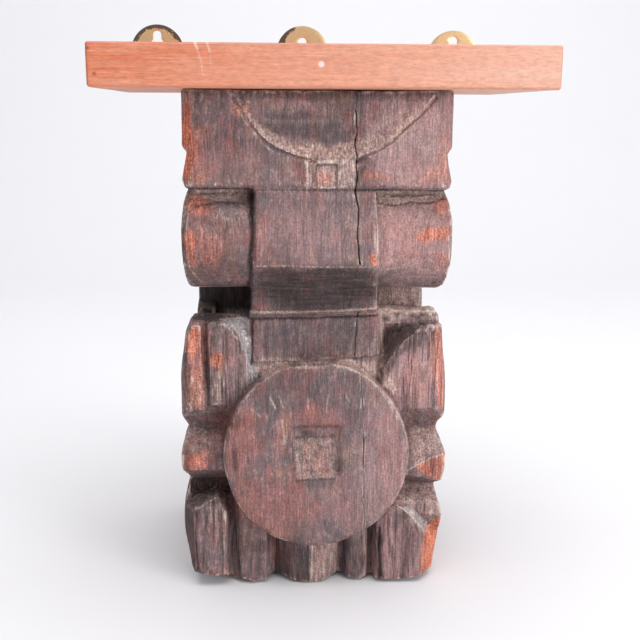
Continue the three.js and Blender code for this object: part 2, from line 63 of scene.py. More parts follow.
# Levels in the tables are millimetres from the plank's underside, up. Places across are
# millimetres from the block's middle, and depths are millimetres out from the wall.
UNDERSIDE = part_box(PLANK)[0][2] / MM
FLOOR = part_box(BLOCK)[0][2] / MM
CARVED_FROM = 118.0


def linear(code):
    """A colour's hex code as linear red, green and blue."""
    parts = [int(code[i:i + 2], 16) / 255 for i in (0, 2, 4)]
    return tuple(c / 12.92 if c <= 0.04045 else ((c + 0.055) / 1.055) ** 2.4 for c in parts)


# Shapes of masks over the carving, all on numpy arrays in millimetres.

def ease(low, high, value):
    """0 below low, 1 above high, and a smooth rise between them."""
    t = np.clip((value - low) / (high - low), 0, 1)
    return t * t * (3 - 2 * t)


def spot(x, level, centre, half, soft=0.45):
    """1 in an ellipse about centre, fading to 0 round its edge."""
    r = np.hypot((x - centre[0]) / half[0], (level - centre[1]) / half[1])
    return 1 - ease(1 - soft, 1 + soft, r)


def field(x, level, left, right, low, high, soft=2.0):
    """1 in a rectangle, fading to 0 over its soft edge."""
    across = ease(left - soft, left + soft, x) * (1 - ease(right - soft, right + soft, x))
    return across * ease(low - soft, low + soft, level) * (1 - ease(high - soft, high + soft, level))


def off_path(x, level, path):
    """Distance from each point to a line through the path's points."""
    best = np.full(len(x), 1e9)
    for (ax, az), (bx, bz) in zip(path, path[1:]):
        run = np.array([bx - ax, bz - az], float)
        t = np.clip(((x - ax) * run[0] + (level - az) * run[1]) / (run @ run), 0, 1)
        best = np.minimum(best, np.hypot(x - ax - t * run[0], level - az - t * run[1]))
    return best


def region(x, level, corners, soft=0.8):
    """1 inside the outline through the corners, fading to 0 across it."""
    within = np.zeros(len(x), bool)
    for (ax, az), (bx, bz) in zip(corners, (*corners[1:], corners[0])):
        crosses = (az > level) != (bz > level)
        reach = ax + (level - az) * (bx - ax) / (bz - az if bz != az else 1e-9)
        within ^= crosses & (x < reach)
    gap = off_path(x, level, (*corners, corners[0]))
    return ease(-soft, soft, np.where(within, gap, -gap))


def corner_value(ix, iy, iz, seed):
    """A repeatable value from 0 to 1 for each corner of a lattice."""
    n = ix.astype(np.uint32) * np.uint32(73856093)
    n = n ^ (iy.astype(np.uint32) * np.uint32(19349663))
    n = n ^ (iz.astype(np.uint32) * np.uint32(83492791)) ^ np.uint32(seed * 374761393 % 2 ** 32)
    n = (n ^ (n >> np.uint32(13))) * np.uint32(1274126177)
    n = (n ^ (n >> np.uint32(16))) * np.uint32(2246822519)
    return (n >> np.uint32(8)).astype(float) / 2 ** 24


def unevenness(points, size, seed, octaves=2):
    """Smooth random values from -1 to 1 whose bumps are about `size` long on each axis."""
    total = np.zeros(len(points))
    weight = 0.0
    for octave in range(octaves):
        at = points * 2 ** octave / np.array(size, float) + 1000
        cell = np.floor(at).astype(np.int64)
        t = at - cell
        t = t * t * (3 - 2 * t)
        value = np.zeros(len(points))
        for dx in (0, 1):
            for dy in (0, 1):
                for dz in (0, 1):
                    share = np.abs(1 - dx - t[:, 0]) * np.abs(1 - dy - t[:, 1]) * np.abs(1 - dz - t[:, 2])
                    corner = corner_value(cell[:, 0] + dx, cell[:, 1] + dy, cell[:, 2] + dz, seed + octave)
                    value += share * corner
        total += (2 * value - 1) * 0.5 ** octave
        weight += 0.5 ** octave
    return total / weight


def placed(points):
    """Each point's place across, depth from the wall and level, as the tables give them."""
    return points[:, 0], -points[:, 1], points[:, 2] - UNDERSIDE


# Mesh helpers.

def joined_copy(node):
    """A copy of a CAD node's mesh with its loose triangles joined up."""
    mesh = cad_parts[node].data.copy()
    mesh.materials.clear()
    bm = bmesh.new()
    bm.from_mesh(mesh)
    bmesh.ops.remove_doubles(bm, verts=bm.verts, dist=1e-6)
    bm.to_mesh(mesh)
    bm.free()
    return mesh


def modified(mesh, kind, groups=(), **settings):
    """The mesh after one modifier. groups are (name, weights) pairs it may use."""
    holder = bpy.data.objects.new("holder", mesh)
    bpy.context.scene.collection.objects.link(holder)
    for name, weights in groups:
        group = holder.vertex_groups.new(name=name)
        for level in np.unique(weights):
            chosen = np.flatnonzero(weights == level).tolist()
            group.add(chosen, float(level), "REPLACE")
    modifier = holder.modifiers.new(kind, kind)
    for name, value in settings.items():
        setattr(modifier, name, value)
    bpy.context.view_layer.update()
    done = bpy.data.meshes.new_from_object(holder.evaluated_get(bpy.context.evaluated_depsgraph_get()))
    bpy.data.objects.remove(holder)
    return done


def read(mesh):
    """Places and normals of the mesh's vertices, in millimetres, and its edges."""
    count = len(mesh.vertices)
    places = np.empty(count * 3)
    mesh.vertices.foreach_get("co", places)
    normals = np.empty(count * 3)
    mesh.vertex_normals.foreach_get("vector", normals)
    edges = np.empty(len(mesh.edges) * 2, np.int64)
    mesh.edges.foreach_get("vertices", edges)
    return places.reshape(-1, 3) / MM, normals.reshape(-1, 3), edges.reshape(-1, 2)


def write(mesh, places):
    """Moves the mesh's vertices to the places, which are in millimetres."""
    mesh.vertices.foreach_set("co", (places * MM).ravel())
    mesh.update()


def relaxed(values, edges, rounds):
    """Each value drawn half way to its neighbours' average, that many times."""
    count = len(values)
    a, b = edges.T
    near = np.maximum(np.bincount(a, minlength=count) + np.bincount(b, minlength=count), 1)
    for _ in range(rounds):
        sums = [np.bincount(a, column[b], count) + np.bincount(b, column[a], count) for column in values.T]
        values = 0.5 * values + 0.5 * (np.array(sums) / near).T
    return values


def paint(mesh, **masks):
    """Writes each mask as a named attribute of the mesh's vertices."""
    for name, values in masks.items():
        layer = mesh.attributes.new(name, "FLOAT", "POINT")
        layer.data.foreach_set("value", np.clip(values, 0, 1))


def finished(name, mesh, material, slot, *replaced):
    """Adds the mesh as a piece of the object in its material."""
    mesh.name = name
    mesh.materials.clear()
    mesh.materials.append(material)
    piece = bpy.data.objects.new(name, mesh)
    bpy.context.scene.collection.objects.link(piece)
    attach(piece, "root")
    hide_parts(*replaced)
    return piece


# The carved block.

# The main crack in stretches from the half-round panel to the floor, and a fine one in the cove.
# Each has its path, half width and depth.
CRACKS = (
    (((26, -2), (26, -14)), 0.3, 0.5),
    (((26, -14), (26.8, -28), (25.5, -36), (26.6, -44), (26, -50), (27, -58), (26, -67)), 0.38, 2.2),
    (((26, -67), (27, -74), (28.5, -80), (28.5, -87), (27.5, -98), (28.5, -106),
      (29.5, -118)), 0.44, 2.4),
    (((27.8, -98), (28.5, -106), (29.5, -118)), 0.55, 1.2),
    (((28, -122), (26, -136), (23, -152)), 0.3, 0.7),
    (((30, -154), (28, -187)), 0.38, 1.8),
    (((28, -187), (31, -193), (32, -201), (33, -230)), 0.3, 0.6),
    (((33, -230), (34, -244)), 0.3, 0.7),
    (((34, -244), (34, -262), (34.5, -268)), 0.36, 1.7),
    (((34.5, -268), (35, -276), (34, -291)), 0.3, 0.8),
    (((34, -291), (35, -300), (35, -313), (35, -326)), 0.3, 0.8),
    (((-21, -120), (-19, -132), (-19, -148)), 0.3, 0.6),
)
# Outer line of the half-round panel, a cut that still shows at its left and its right.
PANEL_LINE = (
    (-57, -6), (-51, -15), (-45, -23), (-37, -33), (-30, -39), (-21, -42.5), (-10, -45.5), (-2, -48),
)
PANEL_LINE_RIGHT = (
    (27, -47), (29, -45), (40, -40), (51, -33), (59, -25), (67, -18), (74, -12), (80, -5),
)
# Deep chisel lines by the tongue's left side and the petals: path, half width and depth.
CHISELLED = (
    (((-44.5, -70), (-44.5, -90), (-45.5, -118), (-48, -152)), 1.3, 2.5),
    (((-78, -160), (-78.5, -190), (-77.5, -221)), 1.6, 3.5),
    (((47, -319), (48, -340), (50, -359)), 1.4, 3),
    (((-88, -300), (-89, -325), (-87, -352)), 1.2, 2.5),
    (((-46, -161), (-46, -193)), 1.4, 2),
)
# Painted shade, with dirt, drawn as thin lines in the corners between mouldings and petals and under the
# overhangs: path, half width, strength.
SEAMS = (
    (((-92, -66.3), (-46, -66.3)), 1.3, 1.0), (((-46, -66.8), (26, -67.2)), 0.7, 0.6),
    (((27, -66.8), (92, -68.6)), 1.2, 1.0),
    (((-46, -158.6), (-20, -158.8), (0, -158.4), (44, -157)), 1.4, 1.0),
    (((-45, -68), (-45, -96), (-46, -120), (-48.5, -152)), 1.4, 0.85),
    (((43, -122), (44.5, -154)), 0.8, 0.5),
    (((44, -77), (56, -78.5), (66, -76.5), (78, -77), (90, -74)), 0.8, 0.8),
    (((52, -72.5), (70, -72), (88, -71)), 0.6, 0.7), (((-84, -79), (-66, -76), (-50, -77)), 0.9, 0.7),
    (((-80, -71), (-64, -70)), 0.6, 0.6), (((-1, -50), (13, -49.5)), 0.8, 0.8),
    (((-1, -50), (-1.5, -64)), 1.0, 0.7), (((13, -50), (13.5, -66)), 0.5, 0.5),
    (((27, -48), (34, -46), (27, -60)), 1.6, 0.5), (((-28, -330), (-29, -359)), 2.0, 1.0),
    (((-5, -329), (-5, -359)), 0.9, 0.9), (((22, -329), (23, -359)), 1.6, 1.0),
    (((-61, -296), (-58, -330), (-56, -358)), 1.4, 0.8),
    (((45, -318), (48, -335), (49, -360)), 1.3, 0.9),
    (((-92, -278), (-74, -279), (-66, -276)), 1.2, 0.8),
    (((-90, -283), (-72, -290), (-64, -288)), 1.0, 0.6),
    (((66, -276), (80, -284), (96, -286)), 1.2, 0.7), (((66, -240), (80, -242), (96, -240)), 1.0, 0.5),
    (((-92, -241), (-76, -243), (-64, -240)), 1.0, 0.5), (((-66, -208), (-64, -226)), 1.0, 0.5),
    (((-45, -191), (-20, -190), (0, -189), (26, -188.5), (46, -187)), 0.8, 0.7),
    (((-45.5, -160), (-46, -192)), 1.1, 0.9), (((16, -262), (16.5, -271)), 1.4, 0.6),
    (((-14, -275.5), (13, -275)), 1.0, 0.6), (((-17, -245), (-16, -273)), 0.8, 0.35),
    (((-17, -244), (13, -243.5)), 0.8, 0.3),
)
# Painted highlights on raised or worn arrises where they catch the light, and pale scratches on the boss:
# path and strength.
ARRISES = (
    (((-82, -69), (-88, -79), (-90, -95), (-90, -109), (-88, -122), (-81, -132)), 0.55),
    (((40, -68), (41.5, -90), (43, -122)), 0.75), (((43, -122), (44, -152)), 0.9),
    (((-45, -119.5), (-20, -119), (0, -120), (43, -120.5)), 0.6),
    (((-46, -153.8), (-20, -154), (0, -153.6), (20, -153.2), (45, -152)), 0.85),
    (((-44, -67.5), (40, -67.5)), 0.5), (((44, -180), (52, -203), (60, -226)), 0.6),
    (((-90, -302), (-72, -290)), 0.7), (((-72, -290), (-68, -301)), 0.6),
    (((61, -300), (70, -307), (80, -320)), 0.9), (((67, -291), (94, -291)), 0.5),
    (((68, -272), (85, -263), (94, -260)), 0.8),
    (((30, -193), (42, -204), (52, -218), (58, -230)), 0.7), (((-2, -330), (-3, -358)), 0.8),
    (((48, -170), (50, -200)), 0.5), (((-33, -213), (-29, -221)), 0.8),
    (((-27, -212), (-24, -220)), 0.7), (((-46, -221), (-40, -227)), 0.6),
    (((-6, -213), (-6, -221)), 0.6), (((8, -212), (7, -224)), 0.6), (((-24, -230), (-23, -248)), 0.6),
    (((-50, -236), (-44, -243)), 0.5), (((20, -210), (24, -218)), 0.5),
)
# Worn to the red wood: centre, half sizes and strength.
WORN = (
    ((-86, -176), (5, 12), 0.75), ((-84, -200), (3, 6), 0.6), ((-87.5, -27), (4.5, 12), 1.1),
    ((-87.5, -50), (4.5, 11), 1.1), ((-80, -34), (6, 10), 0.5), ((-87, -34), (4, 24), 1.0),
    ((-87, -48), (3, 6), 1.0), ((-82, -52), (8, 14), 0.4), ((88, -45), (6, 20), 0.4),
    ((80, -58), (14, 6), 0.4), ((41, -56), (13, 3), 0.4), ((4, -58), (6, 5), 0.45),
    ((-52, -14), (5, 5), 0.4), ((-83, -78), (9, 7), 0.6), ((-89, -108), (3, 15), 0.85),
    ((-74, -106), (13, 14), 0.35), ((83, -98), (12, 6), 0.85), ((86, -79), (7, 4), 0.5),
    ((87, -117), (7, 6), 0.4), ((60, -104), (16, 20), 0.2), ((37.5, -115), (2.5, 3.5), 1.0),
    ((-72, -187), (4.5, 5), 0.95), ((-71, -193), (3, 4), 0.8), ((88, -192), (5, 26), 0.45),
    ((88, -168), (4, 6), 0.6), ((72, -205), (12, 16), 0.2), ((-88, -263), (9, 7), 0.5),
    ((90, -270), (6, 8), 0.6), ((-68, -349), (2, 9), 0.35), ((88, -343), (5, 17), 0.8),
    ((92, -318), (3, 8), 0.6), ((-53, -245), (12, 22), 0.35), ((-56, -230), (8, 10), 0.3),
    ((-32, -300), (30, 18), 0.35), ((-24, -238), (5, 12), 0.45), ((-30, -260), (5, 20), 0.25),
    ((-6, -226), (9, 6), 0.5), ((14, -284), (9, 9), 0.4), ((56, -260), (8, 24), 0.2),
    ((-44, -312), (10, 4), 0.25), ((20, -100), (14, 6), 0.15), ((-40, -88), (3, 16), 0.2),
)
# Scraped or dusty pale wood, with painted light on the neck's lit right side and on the roll tops.
PALE = (
    ((-88, -212), (7, 13), 0.5), ((42, -26), (13, 13), 0.4), ((-8, -38), (14, 4), 0.5),
    ((-22, -12), (10, 3), 0.4), ((56, -24), (8, 8), 0.35), ((12, -14), (12, 4), 0.3),
    ((8, -56), (16, 9), 0.7), ((18, -42), (10, 4), 0.4), ((-66, -70.5), (20, 2.5), 0.9),
    ((67, -71), (22, 3.5), 1.0), ((48, -80), (4, 10), 0.5), ((-74, -96), (10, 7), 0.4),
    ((-60, -84), (14, 6), 0.45), ((62, -119), (14, 5), 0.35), ((-70, -200), (3, 18), 0.7),
    ((-20, -190), (24, 2.4), 0.8), ((40, -194), (12, 4), 0.8), ((-50, -204), (5, 6), 0.5),
    ((-83, -247), (12, 4), 0.45), ((82, -250), (13, 6), 0.75), ((67, -262), (2, 5), 0.8),
    ((66, -285), (4, 18), 0.45), ((82, -300), (12, 8), 0.5), ((-78, -300), (2.5, 12), 0.6),
    ((-74, -325), (7, 20), 0.25), ((8, -346), (9, 14), 0.6), ((-2, -350), (2, 8), 0.8),
    ((-52, -338), (6, 14), 0.2), ((37, -340), (5, 20), 0.25), ((60, -158), (26, 3), 0.5),
    ((62, -163), (22, 4), 0.3), ((84, -160), (6, 3), 0.5), ((44, -180), (2.5, 18), 0.45),
    ((64, -149), (22, 10), 1.0), ((46, -148), (3, 12), 0.9), ((36, -182), (8, 6), 0.3),
    ((-60, -64), (1.5, 4), 0.6), ((-4, -64), (8, 1.5), 0.6), ((-14, -21), (30, 2), 0.4),
)
# Paler, pinker wood from handling and washing, together with painted light from the right: most towards
# the block's right and on the neck's right side.
FADED = (
    ((66, -36), (30, 34), 1.0), ((70, -104), (26, 32), 0.9), ((74, -198), (22, 34), 0.8),
    ((50, -255), (20, 60), 0.5), ((60, -338), (16, 26), 0.45), ((0, -96), (40, 26), 0.35),
    ((-20, -60), (24, 6), 0.2), ((62, -148), (20, 10), 0.9), ((84, -270), (12, 40), 0.4),
    ((-62, -195), (12, 24), 0.25), ((20, -280), (30, 30), 0.25), ((-60, -52), (24, 12), 0.2),
    ((36, -340), (8, 20), 0.4), ((8, -345), (12, 16), 0.4),
)
# Painted shade together with old sooty dirt in the hollows: the cove, the neck's left side, the bands
# under the plank and the lip, and the sides turned from the light.
DARK = (
    ((-66, -118), (22, 12), 0.3), ((66, -122), (24, 6), 0.25), ((24, -142), (18, 8), 0.9),
    ((-92, -100), (2.5, 32), 0.6), ((-93, -190), (2.5, 34), 0.6), ((-93, -262), (2.5, 14), 0.6),
    ((0, -2), (96, 3), 0.7), ((-20, -206), (40, 12), 0.2), ((-76, -232), (16, 6), 0.4),
    ((76, -231), (18, 5), 0.4), ((-70, -148), (26, 13), 1.0), ((0, -138), (52, 18), 1.0),
    ((0, -127), (46, 7), 0.95), ((-46, -95), (2, 30), 0.9), ((-46, -140), (2.5, 16), 0.8),
    ((-70, -30), (26, 36), 0.16), ((-12, -24), (22, 11), 0.3), ((30, -14), (30, 7), 0.25),
    ((8, -30), (30, 9), 0.15), ((-66, -124), (24, 9), 0.5), ((-88, -122), (4, 12), 0.4),
    ((64, -127), (24, 5), 0.5), ((0, -172), (46, 15), 0.3), ((0, -158), (46, 2), 0.5),
    ((-2, -202), (44, 12), 0.18), ((-60, -250), (6, 20), 0.2), ((66, -174), (16, 9), 0.8),
    ((54, -186), (5, 9), 0.6), ((-66, -231), (14, 5), 0.7), ((-82, -236), (12, 5), 0.5),
    ((80, -232), (16, 5), 0.55), ((-78, -290), (14, 6), 0.9), ((-62, -302), (4, 22), 0.75),
    ((81, -283), (13, 3.5), 0.6), ((70, -272), (4, 4), 0.6), ((-95, -320), (4, 34), 0.85),
    ((-40, -332), (14, 6), 0.6), ((-17, -340), (12, 24), 0.65), ((23.5, -345), (3.5, 20), 0.85),
    ((47.5, -340), (2.5, 24), 0.85), ((-28, -345), (3.5, 20), 0.8), ((-51, -345), (12, 20), 0.2),
    ((0, -3), (94, 4), 0.6), ((-77.8, -192), (1.6, 34), 0.9), ((3, -277), (12, 5), 0.4),
    ((17, -265), (3.5, 6), 0.6), ((-6, -240), (5, 3), 0.5), ((-60, -157), (34, 2.5), 0.35),
    ((10, -218), (8, 4), 0.3), ((26, -224), (8, 14), 0.25), ((-20, -214), (30, 8), 0.2),
    ((-86, -342), (6, 14), 0.3), ((-86, -250), (3, 8), 0.3), ((-74, -260), (4, 8), 0.4),
    ((-58, -258), (3, 12), 0.7), ((12, -76), (30, 3), 0.2), ((-70, -88), (18, 2), 0.25),
)
# Soft pinkish red stains.
RUDDY = (
    ((-56, -245), (14, 26), 0.9), ((-34, -298), (30, 22), 0.8), ((-24, -240), (6, 14), 0.8),
    ((-2, -228), (16, 8), 0.8), ((56, -262), (10, 34), 0.5), ((18, -300), (14, 10), 0.5),
    ((-70, -40), (14, 20), 0.4), ((-48, -52), (16, 12), 0.4), ((-72, -102), (18, 18), 0.7),
    ((72, -98), (24, 26), 0.6), ((-16, -90), (22, 18), 0.3), ((70, -205), (20, 24), 0.5),
    ((66, -335), (20, 20), 0.5), ((-60, -185), (10, 16), 0.4), ((60, -52), (30, 12), 0.5),
    ((84, -268), (10, 10), 0.6), ((-86, -263), (12, 7), 0.5), ((-52, -330), (12, 10), 0.3),
    ((88, -110), (8, 24), 0.6), ((-5, -58), (8, 6), 0.5),
)
# Cold grey, nearly black stains.
COOL = (
    ((-18, -22), (18, 10), 1.0), ((8, -30), (12, 8), 0.8), ((40, -24), (14, 10), 0.3),
    ((-34, -42), (10, 10), 0.5), ((4, -80), (44, 8), 0.35), ((0, -92), (10, 8), 0.4),
    ((-2, -208), (44, 16), 0.6), ((-14, -222), (24, 12), 0.6), ((24, -228), (12, 18), 0.6),
    ((-40, -250), (5, 30), 0.4), ((2, -276), (14, 6), 0.6), ((10, -298), (8, 16), 0.4),
    ((0, -172), (44, 14), 0.7), ((-52, -338), (14, 20), 0.5), ((-20, -110), (20, 8), 0.3),
    ((40, -60), (16, 6), 0.4), ((-28, -280), (10, 6), 0.4), ((-72, -345), (10, 12), 0.3),
    ((30, -340), (8, 20), 0.4), ((-60, -58), (30, 4), 0.3), ((0, -137), (46, 16), 0.6),
)
# Wood cut across the grain: the cove, the roll's upper edge and the foot's top.
ADZED = (
    ((0, -137), (46, 15), 1.0), ((-68, -72), (24, 5), 0.9), ((68, -74), (24, 6), 1.0),
    ((-68, -126), (24, 9), 0.6), ((66, -128), (26, 8), 0.6), ((68, -158), (26, 7), 0.7),
    ((0, -173), (44, 12), 0.35), ((-68, -116), (22, 8), 0.4), ((66, -116), (24, 8), 0.4),
)
# Facets with crisp outlines, as a name of a finish, its corners and its strength. The dark facets are
# painted shade as well as sooty dirt, and the pale facet on the neck's right side is painted light.
FACETS = (
    ("ash", ((-68, -160), (-48, -160), (-43, -195), (-42, -203), (-50, -208), (-51, -183),
                 (-57, -168)), 1.0),
    ("ash", ((62, -301), (69, -302), (78, -309), (87, -321), (87, -330), (80, -322), (71, -309)), 0.8),
    ("ash", ((84, -160), (91, -160), (91, -165), (81, -166)), 0.6),
    ("worn", ((-91, -168), (-81, -165), (-79, -190), (-80, -226), (-93, -223), (-94, -200)), 0.42),
    ("worn", ((-92, -257), (-80, -257), (-80, -269), (-92, -269)), 0.55),
    ("worn", ((74, -270), (96, -257), (97, -281), (86, -280)), 0.7),
    ("worn", ((81.5, -328), (87, -319), (92, -311), (97, -311), (97, -361), (78, -361)), 1.0),
    ("worn", ((88, -166), (92, -163), (94, -226), (89, -226), (86, -190)), 0.6),
    ("scraped", ((70, -246), (97, -240), (97, -256), (72, -269)), 0.6),
    ("scraped", ((68, -291), (96, -291), (96, -316), (90, -320), (80, -306), (66, -299)), 0.5),
    ("scraped", ((-73, -196), (-68, -196), (-66, -219), (-73, -219)), 0.75),
    # Painted light on the neck's right side, lit from the right.
    ("scraped", ((46, -142), (86, -142), (88, -156), (46, -161)), 0.9),
    ("scraped", ((46, -160), (51, -160), (50, -180), (52, -196), (60, -214), (52, -206),
                 (45, -192)), 0.8),
    ("scraped", ((-86, -67), (-49, -67), (-48, -74), (-66, -76), (-80, -73)), 0.9),
    ("scraped", ((42, -68), (90, -69), (88, -75), (70, -77), (43, -79)), 1.0),
    ("scraped", ((-3, -330), (19, -330), (19, -358), (-3, -361)), 0.45),
    ("scraped", ((-46, -195), (-20, -189.5), (0, -188), (22, -188.5), (42, -192), (58, -214),
                 (42, -202), (20, -194), (0, -192.5), (-20, -194), (-38, -202)), 1.0),
    ("scraped", ((-9, -46), (26, -47), (25, -66), (14, -66), (13, -50), (0, -50), (-1, -66),
                 (-8, -66)), 0.7),
    # Painted shade with sooty dirt: the neck's left side, the petals' left halves, the foot's left side
    # and the gaps between petals.
    ("soot", ((-92, -138), (-48, -138), (-47, -159), (-92, -161)), 1.0),
    ("soot", ((50, -168), (84, -166), (70, -176), (58, -188), (52, -204), (49, -196)), 0.8),
    ("soot", ((66, -276), (88, -289), (66, -289)), 0.6),
    ("soot", ((-30, -334), (-5, -331), (-5, -362), (-27, -358)), 0.7),
    ("soot", ((23, -331), (36, -325), (38, -345), (34, -361), (22, -361)), 0.65),
    ("soot", ((-97, -282), (-89, -298), (-88, -353), (-97, -350)), 0.8),
    ("soot", ((20, -330), (27, -330), (27, -360), (20, -360)), 0.7),
    ("soot", ((-91, -282), (-64, -282), (-64, -294), (-76, -292), (-91, -302)), 0.8),
    ("soot", ((-94, -227), (-62, -227), (-58, -236), (-92, -240)), 0.4),
    ("soot", ((66, -227), (95, -227), (93, -239), (66, -242)), 0.5),
)
# Facets on the round boss itself.
BOSS_FACETS = (
    ("scraped", ((-17, -245), (13, -245), (13, -274), (-14, -275)), 0.5),
    ("worn", ((-12, -247), (-4, -247), (-4, -256), (-10, -258)), 0.55),
    ("worn", ((2, -250), (9, -262), (13, -274), (0, -272), (-2, -262)), 0.75),
    # Painted shade with sooty dirt along the socket's lower and right edges and above it.
    ("soot", ((-6, -274), (11, -274), (11, -280), (-6, -280)), 0.4),
    ("soot", ((14, -260), (19, -260), (19, -270), (14, -270)), 0.35),
    ("soot", ((-10, -238), (-3, -238), (-3, -243), (-10, -243)), 0.6),
    ("scraped", ((-28, -229), (-20, -228), (-21, -253), (-27, -252)), 0.35),
)
PANEL_CENTRE = (9, 28.5)
PANEL_REACH = 75
BOSS_CENTRE = (0.2, -257.4)
BOSS_REACH = (66.7, 69.7)
# Areas of the front, as their left, right, low and high edges.
COVE = (-46, 46, -152, -121)
SOCKET = (-17, 14, -274, -243)
PANEL_BAND = (-70, 90, -70, 0)
UNDER_PANEL = (-9, 25, -66, -46)
SQUARE = (-1, 13, -64, -49.5)
SQUARE_SIDE = (-6.4, -4, -66, -44)
FOOT_LEDGE = (46, 88, -168, -150)
LEDGE_GRIME = (48, 90, -173, -157)
LEFT_FACET = (-92, -79, -226, -166)
GOUGE = (-73, -67, -219, -183)
NECK_LEFT = (-94, -48, -158, -138)
PALE_BAND = (-54, 76, -60, -10)
# Petals whose grain has opened into furrows, and how far.
RIVEN = (
    ((-77, -52, -226, -166), 1.0), ((62, 96, -226, -164), 1.0), ((-92, -60, -362, -290), 1.0),
    ((48, 84, -362, -300), 1.0), ((-60, 48, -362, -322), 0.6),
)
# Depth from which the mesh is fine enough for drawn lines, and half the width of a lit arris.
FINE_FROM = CARVED_FROM + 12
ARRIS_WIDTH = 0.9
# Lines that need a finer mesh, each with how far it reaches on either side.
PAINTED_LINES = tuple((path, 1.4) for path, *_ in SEAMS + ARRISES)
CUT_LINES = (*((path, 0.8 + 1.6 * wide) for path, wide, _ in CRACKS + CHISELLED),
             (PANEL_LINE, 1.6), (PANEL_LINE_RIGHT, 1.6))
# The most triangles the thinned block keeps. An STL file of this many triangles stays
# under the export's limit.
MOST_TRIANGLES = 195000


def marks(table, x, level, wander):
    """The strongest of a table of spots at each point, their edges frayed by wander."""
    total = np.zeros(len(x))
    for centre, half, strength in table:
        total = np.maximum(total, strength * spot(x + wander[0], level + wander[1], centre, half))
    return total


def drawn(lines, x, level):
    """The strongest of the drawn lines at each point: each has a path, half width and strength."""
    total = np.zeros(len(x))
    for path, width, strength in lines:
        total = np.maximum(total, strength * np.exp(-(off_path(x, level, path) / width) ** 2))
    return total


def from_boss(x, level):
    """How far each point is from the middle of the round boss, which has its rim at 1."""
    return np.hypot((x - BOSS_CENTRE[0]) / BOSS_REACH[0], (level - BOSS_CENTRE[1]) / BOSS_REACH[1])


def inside_panel(x, level):
    """How far each point is inside the arc of the half-round panel."""
    return PANEL_REACH - np.hypot(x - PANEL_CENTRE[0], level - PANEL_CENTRE[1])


def refined(mesh, near, cuts=1):
    """The mesh with cuts more points on every edge whose middle near() picks."""
    bm = bmesh.new()
    bm.from_mesh(mesh)
    middles = np.array([(e.verts[0].co + e.verts[1].co) / 2 for e in bm.edges]) / MM
    chosen = near(middles)
    edges = [edge for edge, pick in zip(bm.edges, chosen) if pick]
    bmesh.ops.subdivide_edges(bm, edges=edges, cuts=cuts, use_grid_fill=True)
    bm.to_mesh(mesh)
    bm.free()
    return mesh


def near_lines(points, lines=PAINTED_LINES):
    """Which points of the carved front are within reach of one of the lines."""
    x, depth, level = placed(points)
    close = np.zeros(len(points), bool)
    for path, reach in lines:
        close |= off_path(x, level, path) < reach
    return close & (depth > FINE_FROM)


def near_cuts(points):
    """Which points of the carved front are beside a crack or a chisel line."""
    return near_lines(points, CUT_LINES)


def front_masks(places, normals):
    """Masks of the parts of the carved surface that were worked or have worn in their own way."""
    x, depth, level = placed(places)
    carved = ease(CARVED_FROM - 8, CARVED_FROM + 4, depth)
    front = carved * ease(0.1, 0.6, -normals[:, 1])
    flat_boss = 1 - ease(0.93, 1.0, from_boss(x, level))
    boss = flat_boss * ease(171, 174, depth)
    ragged = [2 * unevenness(places, (6, 6, 6), seed) for seed in (40, 41)]
    sunk = field(x + ragged[0], level + ragged[1], *SOCKET, 1.4)
    panel = inside_panel(x, level)
    return SimpleNamespace(
        carved=carved,
        front=front,
        cove=field(x, level, *COVE) * front,
        socket=sunk * flat_boss * ease(166, 169, depth) * front,
        rim=ease(-1, 1, panel) * (1 - ease(8, 14, panel)) * field(x, level, *PANEL_BAND) * front,
        inside=ease(6, 12, panel) * front * ease(-60, -50, level),
        rough=field(x, level, *UNDER_PANEL, 1.5) * front,
        square=field(x, level, *SQUARE, 0.8) * front,
        spandrel=spot(x, level, (-50, -182), (8, 24)) * front * (1 - boss),
        ledge=field(x, level, *FOOT_LEDGE) * carved,
        facet=field(x, level, *LEFT_FACET) * front,
        petals=ease(-162, -170, level) * (1 - flat_boss),
        coarse=unevenness(places, (3.4, 3.4, 45), 3),
    )


def worked_relief(places, at, grain_depth):
    """How far out the grain, the tool marks and the rough parts move each point."""
    x, _, level = placed(places)
    grain = unevenness(places, (2.6, 2.6, 60), 1) - 0.4 * unevenness(places, (1.5, 1.5, 30), 2, 1)
    furrows = np.minimum(at.coarse + 0.15, 0)
    along_grain = grain * (1 - 0.7 * at.cove) + 3.6 * at.petals * furrows
    torn = at.rim + 0.8 * at.rough + 0.5 * at.inside
    gritty = 0.5 * at.spandrel + 1.7 * at.ledge + 0.9 * at.facet
    move = 0.9 * at.carved * unevenness(places, (34, 34, 34), 4)
    move += 0.25 * unevenness(places, (11, 11, 16), 5) * at.carved
    move += grain_depth * (0.45 + 0.55 * at.front) * along_grain
    move += at.cove * unevenness(places, (60, 12, 3.4), 6)
    move += torn * 0.9 * unevenness(places, (3.6, 3.6, 3.6), 7)
    move += at.inside * 0.5 * unevenness(places, (12, 12, 12), 8)
    move += at.socket * (2.2 * unevenness(places, (3.4, 3.4, 3.4), 9) - 0.5)
    move += gritty * unevenness(places, (2.8, 2.8, 3.6), 10)
    move += 1.2 * at.rough * (1 - at.square) - 0.8 * at.square
    move -= 0.8 * at.front * field(x, level, *SQUARE_SIDE, 0.8)
    return move


